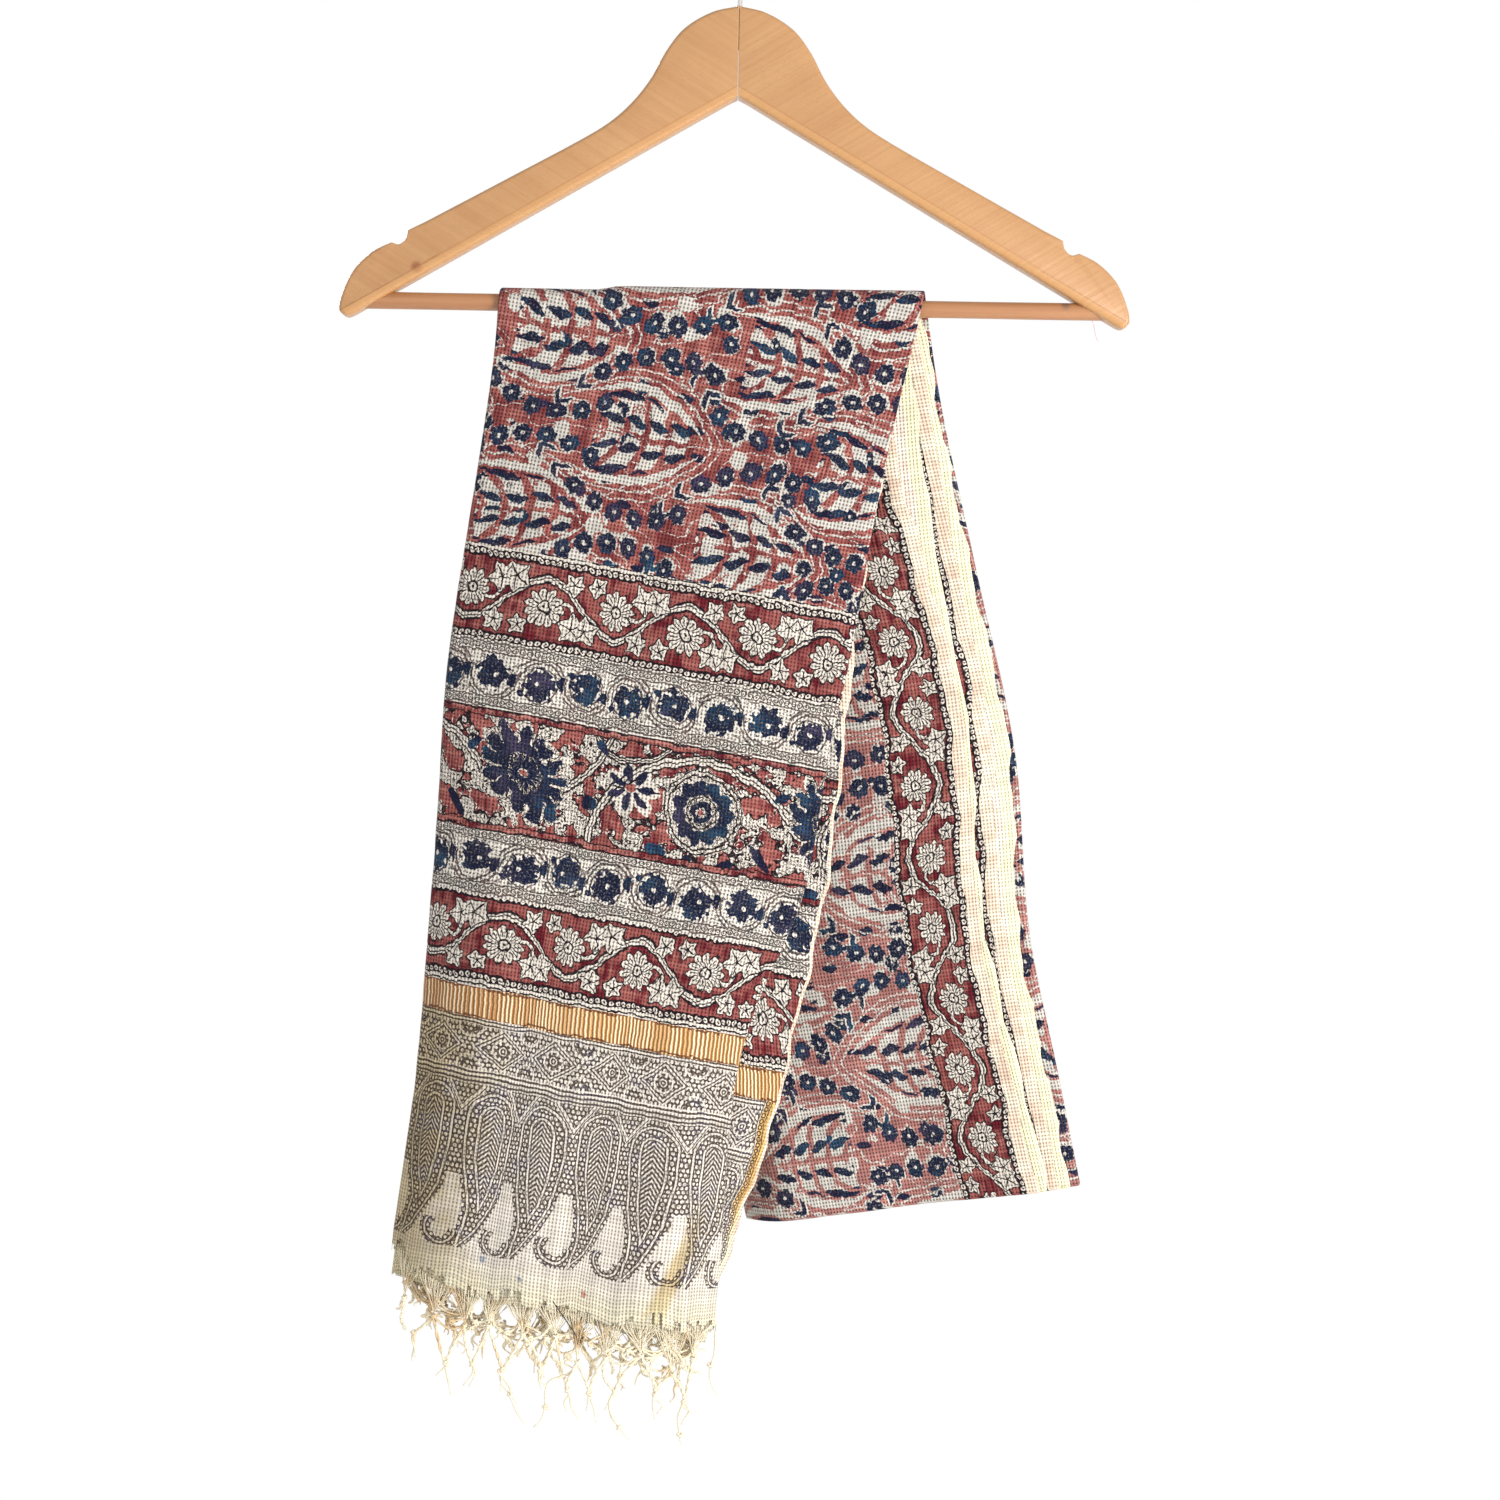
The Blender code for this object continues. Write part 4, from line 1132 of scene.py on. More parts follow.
def cream_band_print():
    f = Print("cream_band")
    aside = f.from_hem - 241.5 - (f.from_hem > 300.0) * 103.0
    side = abs(aside)
    ring = f.length(wrap(f.x, 1.85), side - 14.9)
    rules = near(side, 17.5, 0.6, 12.4, 0.45) | near(ring, 1.35, 0.4) | (ring < 0.42)
    inside = side < 12.2
    number = floor_of(f.x / BLOSSOM_PITCH)
    flip = 1.0 - (number % 2.0) * 2.0
    chance = f.chance(number + 0.21)
    x = f.x - (number + 0.5) * BLOSSOM_PITCH
    y = aside * flip + 1.5
    r = f.length(x, y)
    knobs = (f.noise(f.flat, 0.3, 1.0) - 0.5) * 11.0
    eye = f.length(x + (chance - 0.5) * 6.0, y - 1.0)
    blossom = (r + knobs < 8.6) & (eye > 1.3)
    bud = f.length(x - 12.4, y - 3.0) + knobs * 0.35 < 3.9
    small_bud = (f.length(x + 10.0, y + 5.0) < 1.9) & (chance > 0.4)
    arcs = (near(r, 12.6, 0.6, 15.0, 0.6) & (y > -2.0)) | (near(r, 9.8, 0.5) & (chance > 0.4))
    scroll = near((f.noise(f.flat, 0.19, 1.0) * 6.0) % 1.0, 0.5, 0.11) & (r > 9.0)
    ink = f.mix(f.grade(f.blot, 0.4, 0.62), daylight(84, 56, 58), OUTLINE)
    colour = f.lay(daylight(240, 233, 222), (f.faded(inside & scroll, 0.5) * 0.8, ink),
                   (f.faded(rules | (inside & arcs), 0.3) * 0.9, ink),
                   (f.faded((blossom | bud | small_bud) & inside, 0.25), f.navy()))
    return f.weave(colour, 0.62)


dress(cloth, cream_band_print())

# %% [markdown]
# ## The grand band
# The widest band is the showpiece: a large rosette and a palmette in navy on cream halos,
# under long double scrolls, with sprigs, buds and leaf masses on the red ground. One repeat
# is 180 mm. Each part is drawn from its own centre with distances and angles, in the plain
# forms that block carvers have always used.

# %% Grand band
GRAND_REPEAT = 180.0
GRAND_FROM = 258.0
ROSETTE = (130.0, -2.0)
PALMETTE = (24.0, 1.0)
SCROLLS = (
    # centre_x_mm, centre_y_mm, radius_mm, half_width_mm
    (130.0, -40.0, 66.0, 2.6), (24.0, 44.0, 52.0, 2.2), (86.0, 46.0, 27.0, 1.8),
)
BUDS = (
    # x_mm, y_mm, half_length_mm, half_width_mm, turn_deg
    (64.0, -9.0, 5.6, 4.2, 20.0), (104.0, -27.0, 6.0, 3.2, 0.0), (124.0, -29.0, 3.4, 2.6, 0.0),
    (147.0, -28.5, 4.0, 3.4, 0.0), (166.0, -22.0, 9.0, 2.8, -50.0),
    (176.0, 14.0, 5.0, 2.6, 40.0), (70.0, 24.0, 5.0, 2.4, -30.0),
)


def rosette(f, x, y):
    """Rings about a centre: a lobed navy wreath, a dotted cream one, a navy ring, an eye."""
    r = f.length(x, y)
    turn = f.angle(x, y)
    ragged = (f.fine - 0.5) * 2.6
    lobes, notches = abs(cos(turn * 5.5)) * 3.4 + 15.4, abs(cos(turn * 5.0)) * 1.4 + 9.4
    wreath = (r < lobes + ragged) & (r > notches)
    halo = r + (f.blot - 0.5) * 9.0 < 23.5
    lines = near(r, 20.6, 0.5, 9.0, 0.4, 23.0, 0.4) | ((r < 9.0) & (f.fine > 0.54))
    return halo, wreath | near(r + ragged * 0.3, 4.9, 1.5), r < 1.6, lines & (r > 1.8)


def palmette(f, x, y):
    """A leaning fan: the angle and the radius are bent by a noise, so its navy teeth differ."""
    bend_x, bend_y, _ = f.parts(f.noise(f.flat, 0.1, 1.0, 1))
    x, y = x + y * 0.25 + (bend_x - 0.5) * 12.0, y + (bend_y - 0.5) * 12.0
    r = f.length(x, y * 0.8)
    ragged = (f.fine - 0.5) * 5.0
    tooth = abs(cos(f.angle(x, y) * 6.5 + 0.6))
    teeth = (r < tooth * 6.0 + 16.0 + ragged) & (r > 8.6 + ragged) & ((tooth > 0.34) | (r < 14.0))
    inner = (r < tooth * 3.0 + 5.0) & (r > 2.8)
    halo = r + (f.blot - 0.5) * 14.0 < tooth * 6.0 + 18.5
    lines = (near(r - tooth * 3.0, 6.6, 0.5) | (near(tooth, 0.34, 0.09) & halo)
             | (near(r, 8.4, 1.4) & (f.fine > 0.53)))
    return halo, teeth | inner, r < 2.0, lines


def scrolls(f, p, table):
    """Double-ruled cream stems: each an arc of a circle, with a rule at both its edges."""
    cream, dark = None, None
    for x, y, radius, half in table:
        away = abs(f.distance(p, x, y) - radius)
        stem, rules = away < half, near(away, half - 0.3, 0.55) | (away < 0.36)
        cream = stem if cream is None else cream | stem
        dark = rules if dark is None else (dark & ~stem) | rules
    return cream, dark


def grand_band_print():
    f = Print("grand_band")
    x = (f.x - 250.0) % GRAND_REPEAT
    y = f.from_hem - (GRAND_FROM + 34.0)
    halo_a, navy_a, eye_a, line_a = rosette(f, x - ROSETTE[0], y - ROSETTE[1])
    halo_b, navy_b, eye_b, line_b = palmette(f, x - PALMETTE[0], y - PALMETTE[1])
    halos, navy = halo_a | halo_b, navy_a | navy_b
    stems, stem_lines = scrolls(f, f.point(x, y), SCROLLS)
    filler, small = f.noise(f.flat, 0.075), f.noise(f.flat, 0.25, 1.0)
    mass = filler + (small - 0.5) * 0.2
    leaves = mass > 0.5
    veins = near((small * 6.0) % 1.0, 0.5, 0.14)
    leaf_lines = near(mass, 0.5, 0.02) | (veins & leaves)
    stipple = veins & (filler > 0.45) & (f.blot > 0.5)
    sprig_x, sprig_y = x - 88.0, y - 4.0
    sprig_r = f.length(sprig_x, sprig_y)
    spoke = abs(cos(f.angle(sprig_x, sprig_y) * 3.5))
    sprig = (sprig_r < spoke * 12.5 + 1.0) & (spoke > 0.62) & (sprig_r > 3.4)
    sprig_halo = sprig_r + (f.blot - 0.5) * 8.0 < spoke * 6.0 + 10.0
    buds = []
    for bud_x, bud_y, long, short, degrees in BUDS:
        c, s = math.cos(math.radians(degrees)), math.sin(math.radians(degrees))
        dx, dy = x - bud_x, y - bud_y
        buds.append(f.length((dx * c + dy * s) / long, (dy * c - dx * s) / short) < 1.0)
    cream = halos | stems | leaves | sprig_halo | stipple
    lines = (line_a | line_b | (stem_lines & ~halos) | (leaf_lines & ~halos & ~stems & ~sprig_halo)
             | (veins & halos & ~navy) | (near(y, 4.0, 0.5) & sprig_halo))
    side = abs(y)
    return f.weave(f.lay(
        f.red(0.9), (f.faded(cream, 0.12), CREAM), (f.faded(lines, 0.2), OUTLINE),
        (eye_a | eye_b | near(sprig_r, 1.4, 1.2), RED),
        (f.faded(navy | sprig | (either(buds) & ~halos), 0.2), f.navy()),
        (f.faded(near(side, 31.4, 1.8), 0.3), f.red(1.0)),
        (f.faded(near(side, 33.2, 0.7, 29.6, 0.4), 0.35), OUTLINE)), 0.55)


dress(cloth, grand_band_print())

# %% [markdown]
# ## The gold stripe
# The stripe near each end isn't printed but woven: a flat gold thread goes in as weft, packed
# so tight that it stands as a row of fine upright ribs, with a painted highlight on their
# crests and painted shade in brown between them. It takes a Metallic share and a lower
# roughness where the cloth is matt.

# %% Gold stripe
def gold_stripe_print():
    f = Print("gold_stripe", roughness=0.5)
    ribs = (f.x * 0.35 + f.u * 0.65) / 2.5
    rib = abs(ribs % 1.0 - 0.5) * 2.0
    luck = f.chance(floor_of(ribs))
    brown = f.grade(f.u + (f.blot - 0.5) * 60.0, 330.0, 245.0, 0.1, 0.7)
    crest = rib + (luck - 0.5) * 0.35 + (f.fine - 0.5) * 0.3
    edges = near(f.from_hem, 170.6, 0.7, 154.4, 0.6)
    # painted shade in brown between the ribs, and a painted highlight on their crests
    colour = f.lay(GOLD, (brown, BROWN_GOLD), (f.grade(rib, 0.5, 0.95, 0.0, 0.85), BROWN_GOLD),
                   (f.grade(crest, 0.34, 0.12, 0.0, 0.85), PAINTED_GOLD_HIGHLIGHT),
                   (f.faded(edges, 0.4), daylight(120, 76, 50)))
    f.feed("Base Color", colour)
    f.feed("Metallic", f.grade(rib, 0.2, 0.9, 0.3, 0.1))
    f.bump(1.0 - rib * rib, 0.0006)
    return f.material


dress(cloth, gold_stripe_print())

# %% [markdown]
# ## The end panel
# Below the gold a single dark dye is printed on the bare cotton: a strip of diamonds, and then
# a row of tall paisleys that stand on their curled tips. A paisley is a level set: above its
# arch's centre it is the distance to that centre, and below it the distance aside, less a
# half width that a ramp narrows towards the foot. So all its outlines run side by side.

# %% End panel
PAISLEY_PITCH = 35.6
PAISLEY_AT = 349.0  # across the cloth, one paisley's middle
PAISLEY_HALF = 14.4
PAISLEY_ARCH = 99.5  # height of the arch's centre above the hem
PAISLEY_FOOT = 27.0
PAISLEY_WIDTHS = (
    # share of the height, share of the half width
    (0.0, 0.1), (0.05, 0.17), (0.12, 0.27), (0.23, 0.38), (0.3, 0.47), (0.44, 0.72),
    (0.65, 0.93), (0.8, 1.0),
)
HOOK = (20.5, 35.0)  # left of the paisley's middle and above the hem
INK = daylight(72, 56, 46)
PURPLE_INK = daylight(60, 48, 68)


def bare_cotton(f):
    """The unprinted ground of the end: cream, tan by the left fold and yellow at the hem, with
    painted shade as a tan line along one crease.
    """
    tan_and_crease_shade = f.grade(f.u + (f.blot - 0.5) * 60.0, 236.0, 290.0, 0.85, 0.0)
    # painted shade: a tan line along a crease valley of the front panel, near the hem
    crease = abs(f.u - 393.0 - f.from_hem * 0.33)
    tan_and_crease_shade = tan_and_crease_shade | (f.grade(crease, 8.0, 3.0) & f.grade(f.from_hem, 80.0, 40.0) & (f.v < 1000.0))
    colour = f.mix(tan_and_crease_shade, CREAM, TAN)
    return f.mix(f.grade(f.from_hem, 2.0, 26.0, 0.5, 0.0), colour, daylight(238, 228, 184))


def paisley(f, x, y):
    """Distance inside the paisley's outline, positive within."""
    t = (y - PAISLEY_FOOT) / (PAISLEY_ARCH - PAISLEY_FOOT)
    share = f.ramp(t, PAISLEY_WIDTHS)
    low = f.math("MAXIMUM", 62.0 - y, 0.0) / 35.0
    middle = x + low * low * 10.0
    up = f.math("MAXIMUM", y - PAISLEY_ARCH, 0.0)
    return share * PAISLEY_HALF - f.length(middle, up), middle


def end_panel_print():
    f = Print("end_panel", 0.3)
    half = PAISLEY_PITCH / 2
    across = f.x - PAISLEY_AT
    x = wrap(across, half)
    y = f.from_hem + (f.noise(f.flat, 0.018, 1.0) - 0.5) * 9.0
    inside, middle = paisley(f, x, y)
    row = floor_of(f.y / 2.6)
    grain = f.length(wrap(f.x + row * 1.4, 1.4), (f.y / 2.6 - row - 0.5) * 2.6) > 0.98
    ribs = near((f.y + abs(middle) * 1.1) % 3.0, 1.5, 0.85)
    pale = near(inside, 0.8, 0.65, 7.0, 0.6)
    rims = near(inside, -0.2, 0.4, 1.8, 0.4, 6.0, 0.4, 8.0, 0.4)
    ground = ((y > 66.0) | (inside > -2.6)) & grain
    body = rims | (ground & (inside < 8.2) & ~pale) | ((inside > 8.2) & ribs)
    curl_x, curl_y = wrap(across + HOOK[0], half), y - HOOK[1]
    curl = f.length(curl_x, curl_y)
    hook_at = ((curl < 11.8) & (curl > 5.0) & (inside < -0.4)
               & ((curl_y < 1.0) | (curl_x < -3.0)) & (curl_y < 6.0))
    hook = near(curl, 7.6, 0.45, 9.6, 0.45) | (grain & ~near(curl, 8.6, 0.7))
    between = wrap(across - half, half)
    wedge = (y - 101.5) - abs(between) * 1.4
    spandrel = wedge > -1.6
    wedge_ink = near(wedge, -0.2, 0.5, 3.2, 0.5) | ((wedge > 3.4) & grain)
    marks = (body & ~spandrel & ~hook_at) | (spandrel & wedge_ink) | (hook_at & hook)
    marks = marks & (f.from_hem < 117.2) & (f.from_hem > 24.0)
    rules = ((near((f.from_hem - 117.4) % 2.6, 1.3, 0.6) & near(f.from_hem, 121.3, 3.9))
             | near(f.from_hem, 151.3, 0.5, 153.4, 0.5))
    b = f.from_hem - 137.9
    diamond = abs(x) * 0.78 + abs(b)
    star = f.length(x, b)
    half_star = f.length(between, abs(b) - 12.6)
    pale_net = (near(diamond, 11.9, 0.6, 9.6, 0.55) | near(star, 5.4, 0.5)
                | near(half_star, 7.2, 0.6))
    dark_net = (near(diamond, 10.8, 0.5, 8.5, 0.5) | near(star, 3.0, 0.6)
                | near(half_star, 4.6, 0.6))
    heart = near(star, 1.2, 0.5) | (near(star, 4.0, 1.0) & (abs(cos(f.angle(x, b) * 4.0)) > 0.6))
    lattice = (dark_net | heart | (grain & ~pale_net & (star > 6.0))) & near(b, 0.0, 12.4)
    edge = f.from_edge()
    ring = f.length(wrap(f.v, 1.7), edge - 7.0)
    border = (near(ring, 1.2, 0.42) | near(edge, 9.4, 0.35, 4.7, 0.35)) & (f.from_hem > 30.0)
    ink = f.faded(((marks | rules | lattice) & (edge > 9.0)) | border, 0.35)
    margin = f.grade(edge, 9.0, 8.0) & f.grade(f.from_hem, 60.0, 100.0)
    dye = f.mix(f.grade(f.blot, 0.5, 0.62), INK, PURPLE_INK)
    return f.weave(f.lay(bare_cotton(f), (f.grade(edge, 6.2, 4.8), PALE_YELLOW),
                         (margin, daylight(236, 190, 120)), (ink * 0.95, dye)), 0.4)


dress(cloth, end_panel_print())

# %% [markdown]
# ## Plain end, selvedge and wrong side
# The last inches before the fringe are bare: beige towards the folded side, with a few specks
# of stray dye. The printed side of a selvedge is a ribbed pinkish margin; on the wrong side
# the tight edge is smooth and pale yellow, and the print beyond it shows only as a pink
# breath. On both sides the gaps between the ribs get painted shade.

# %% Plain cottons
STAINS = (
    # u_mm, v_mm, radius_mm, colour
    (285.0, 22.0, 2.6, daylight(120, 140, 170)),
    (311.0, 14.0, 2.0, daylight(110, 130, 165)),
    (352.0, 12.0, 2.6, daylight(190, 90, 80)),
)
LEFT_FOLD_U = 228.0
FRAY_LIFT = 15.0  # the hem has frayed higher at the left folds
FRAY_WITHIN = 40.0
SECOND_HALF = 1000.0  # v past which the cloth is the inner half
FRONT_QUARTER = (205.0, 470.0)  # u of the quarter in front


def woven(f):
    """1 where the front layer is still woven: a ragged edge that rises to the left fold.

    The layers behind it stay whole, because light gives up after a few see-through faces.
    """
    ragged = (f.warp - 0.5) * 7.0 + (f.noise(f.flat, 0.05, 1.0) - 0.5) * 14.0
    lift = f.grade(abs(f.u - LEFT_FOLD_U), FRAY_WITHIN, 0.0, 0.0, FRAY_LIFT)
    behind = (f.v > SECOND_HALF) | (f.u > FRONT_QUARTER[1]) | (f.u < FRONT_QUARTER[0])
    return (f.from_hem + ragged > lift + 1.5) | behind


def plain_end_print():
    f = Print("plain_end")
    colour = bare_cotton(f)
    for u, v, radius, stain in STAINS:
        r = f.distance(f.point(f.x, f.y), u, v)
        colour = f.mix(f.grade(r, radius, radius * 0.5) * 0.7, colour, stain)
    f.feed("Alpha", woven(f))
    return f.weave(colour, 0.34)


def selvedge_print():
    f = Print("selvedge")
    rib = abs((f.v / PITCH) % 1.0 - 0.5) * 2.0
    # painted shade: darker pink in the gaps between the ribs
    return f.weave(f.lay(
        daylight(268, 254, 230), (f.grade(f.blot, 0.4, 0.6), daylight(256, 228, 204)),
        (f.grade(rib, 0.45, 0.95, 0.0, 0.5), daylight(216, 182, 162))), 0.12, 1.0)


def wrong_side_print():
    f = Print("wrong_side")
    rib = abs((f.v / PITCH) % 1.0 - 0.5) * 2.0
    tight_edge = f.grade(f.from_edge() + (f.blot - 0.5) * 2.0, 9.5, 7.0)
    f.feed("Alpha", woven(f))
    # painted shade: darker pink in the gaps between the ribs
    return f.weave(f.lay(
        daylight(268, 260, 246), (f.grade(f.blot, 0.35, 0.65, 0.0, 0.8), daylight(266, 236, 220)),
        (f.grade(rib, 0.5, 1.0, 0.0, 0.35), daylight(226, 194, 176)),
        (f.grade(f.from_hem, 160.0, 148.0), bare_cotton(f)), (tight_edge, PALE_YELLOW)), 0.16, 1.0)


dress(cloth, plain_end_print())
dress(cloth, selvedge_print())
dress(cloth, wrong_side_print())

# %% [markdown]
# ## The fringe
# At each hem the warp is left unwoven. Loose threads run together in webs over the first two
# centimetres and are knotted; from each knot two strands part again and meet their
# neighbours' in a second row of knots, as in a net, and tails hang from those. Each thread is
# a thin tube carried along its path. All the paths of one kind are worked out as one array
# whose axes are the quarter of the hem, the knot and the thread, so no loop runs over them.

# %% Tubes
def tubes(paths, radii, sides):
    """Tubes round many paths at once.

    paths is strands by points by 3, and radii one number, one for each point or both. A ring
    stands on two directions square to the path, the first a cross product with about -Y.
    """
    along = np.gradient(paths, axis=1)
    along /= np.linalg.norm(along, axis=-1, keepdims=True) + 1e-12
    side = np.cross(along, np.array([0.05, -1.0, 0.03]))
    side /= np.linalg.norm(side, axis=-1, keepdims=True) + 1e-12
    up = np.cross(side, along)
    angle = 2 * np.pi * np.arange(sides) / sides
    ring = (side[..., None, :] * np.cos(angle)[:, None] + up[..., None, :] * np.sin(angle)[:, None])
    strands, steps = paths.shape[:2]
    points = paths[..., None, :] + ring * np.broadcast_to(radii, (strands, steps))[..., None, None]
    one = quads(steps, sides, closed=True)
    faces = one[None] + (np.arange(strands) * steps * sides)[:, None, None]
    start = np.arange(strands)[:, None] * steps * sides + np.arange(sides)[::-1]
    end = np.arange(strands)[:, None] * steps * sides + (steps - 1) * sides + np.arange(sides)
    return points.reshape(-1, 3), faces.reshape(-1, 4).tolist() + start.tolist() + end.tolist()


def join(parts):
    """Several (points, faces) pairs as one."""
    points, faces, base = [], [], 0
    for part_points, part_faces in parts:
        points.append(part_points)
        faces += [[v + base for v in face] for face in part_faces]
        base += len(part_points)
    return np.concatenate(points), faces


print("tube kit ready")

# %% Fringe
KNOTS = 11  # in the first row of each quarter
KNOT_INSET = 4.0 * MM
WEB_THREADS = 12
TAILS = 2
LOOSE = 0.25  # share of the strands that miss the second row
STRAYS = (
    # x_mm, z_mm of each corner in turn
    ((-122.4, -834.1), (-113.5, -844.4), (-114.3, -848.6), (-110.8, -857.3), (-105.6, -864.8)),
    ((-80.8, -836.8), (-93.7, -840.6), (-95.3, -848.3), (-94.7, -855.4), (-96.7, -863.0),
     (-101.0, -866.5)),
    ((-59.7, -852.2), (-58.3, -860.1), (-53.6, -866.0), (-48.2, -872.9)),
    ((-21.5, -863.5), (-20.2, -873.0), (-19.0, -879.0)),
    ((0.4, -810.0), (-1.5, -819.1), (-0.9, -829.7), (-3.9, -835.8), (-4.6, -842.7),
     (-2.8, -847.9), (0.7, -852.9)),
)


FRINGE_QUARTERS = {
    # for each quarter in order: the FAN column of its right side, its layer, its length
    "T": ((2, 0, 0.6), (1, 7, 1.0), (1, 4, 0.4), (5, 3, 0.6)),
    "U": ((3, 1, 0.35), (1, 6, 0.35), (1, 5, 0.35), (4, 2, 0.35)),
}


def hung(path, layer):
    """Points below the hem, with the slipped quarter's slip, of (across, drop, out) places."""
    across, drop, out = np.moveaxis(path, -1, 0)
    return hang(across, layer, -drop, out, slip(across, layer, -drop))


def frayed(across):
    """How far above the hem the threads start, as in the cloth's own ragged edge."""
    return FRAY_LIFT * MM * (1 - ease(across / (FRAY_WITHIN * MM)))


def strand(start, end, sag, bow, curl=0.0):
    """Straight from start to end, with a bow of one half wave and a curl of two and a half."""
    t = np.linspace(0, 1, 15)
    path = start[..., None, :] * (1 - t[:, None]) + end[..., None, :] * t[:, None]
    path[..., 0] += (bow[..., None] * np.sin(np.pi * t)
                     + np.asarray(curl)[..., None] * np.sin(2.5 * np.pi * t) * t)
    path[..., 1] += sag * np.sin(np.pi * t) * 1.5 * MM
    return path


def twisted(chance, path, layer, radius, apart):
    """Two plies that turn about a path, as tubes."""
    steps = path.shape[-2]
    t = np.linspace(0, 1, steps)
    turn = chance.uniform(1.5, 3.0, path.shape[:-2])[..., None] * 2 * np.pi * t
    turn = turn + chance.uniform(0, 6, path.shape[:-2])[..., None]
    turn = turn[..., None, :] + np.array([0.0, np.pi])[:, None]
    aside = np.stack([np.cos(turn), 0 * turn, np.sin(turn)], axis=-1) * apart
    plies = hung(path[..., None, :, :] + aside, layer[..., None, None])
    return tubes(plies.reshape(-1, steps, 3), radius, 5)


def knots(chance, hearts):
    """A short coil of thick yarn about each heart."""
    count = len(hearts)
    t = np.linspace(0, 1, 20)
    spin = chance.uniform(1.6, 2.3, count)[:, None] * 2 * np.pi * t
    spin += chance.uniform(0, 6, count)[:, None]
    girth = chance.uniform(0.9, 1.4, count)[:, None] * MM
    ring = np.stack([np.cos(spin) * girth, np.sin(spin) * girth * 0.8,
                     (t - 0.5) * 2.2 * MM + np.sin(spin * 1.5) * 0.35 * MM], axis=-1)
    return tubes(hearts[:, None, :] + ring, 0.72 * MM, 5)


def tails(chance, hearts, longest):
    """Single threads that hang from each heart and curl: their reach aside grows with t."""
    count = len(hearts)
    t = np.linspace(0, 1, 11)
    size = chance.uniform(0.3, 1.0, (count, TAILS)) ** 1.4 * longest[:, None]
    size = size[..., None]
    aside = chance.normal(0, 0.3, size.shape) * size * t**1.3
    height = chance.normal(0, 1.5, size.shape) * MM
    curl = height * np.sin(np.pi * t * chance.uniform(1, 2.6, size.shape))
    forth = chance.normal(0, 0.12, size.shape) * size * t
    tail = np.stack([aside + curl, forth + curl[..., ::-1] * 0.2 * t, -size * t], axis=-1)
    paths = (hearts[:, None, None, :] + tail).reshape(-1, len(t), 3)
    return tubes(paths, np.linspace(0.8, 0.3, len(t)) * MM, 5)


def smooth_line(corners, steps):
    """A polyline at even steps, whose inner points are then averaged with their neighbours."""
    corners = np.asarray(corners, dtype=float)
    reach = np.concatenate([[0.0], np.cumsum(np.linalg.norm(np.diff(corners, axis=0), axis=1))])
    even = np.linspace(0, reach[-1], steps)
    line = np.stack([np.interp(even, reach, c) for c in corners.T], axis=1)
    for _ in range(3):
        line[1:-1] = (line[:-2] + 2 * line[1:-1] + line[2:]) / 4
    return line


def strays(chance, hearts):
    """The longest tails, each from the nearest knot through its own corners, with a knot on it."""
    lines, middles = [], []
    for corners in STRAYS:
        flat = np.array(corners) * MM
        start = hearts[np.argmin(np.hypot(*(hearts[:, [0, 2]] - flat[0]).T))]
        corners = np.stack([flat[:, 0], np.full(len(flat), start[1]), flat[:, 1]], axis=1)
        lines.append(smooth_line(np.concatenate([start[None], corners]), 26))
        middles.append(corners[len(corners) // 2])
    thinning = np.linspace(0.85, 0.35, 26) * MM
    return [tubes(np.array(lines), thinning, 5), knots(chance, np.array(middles))]


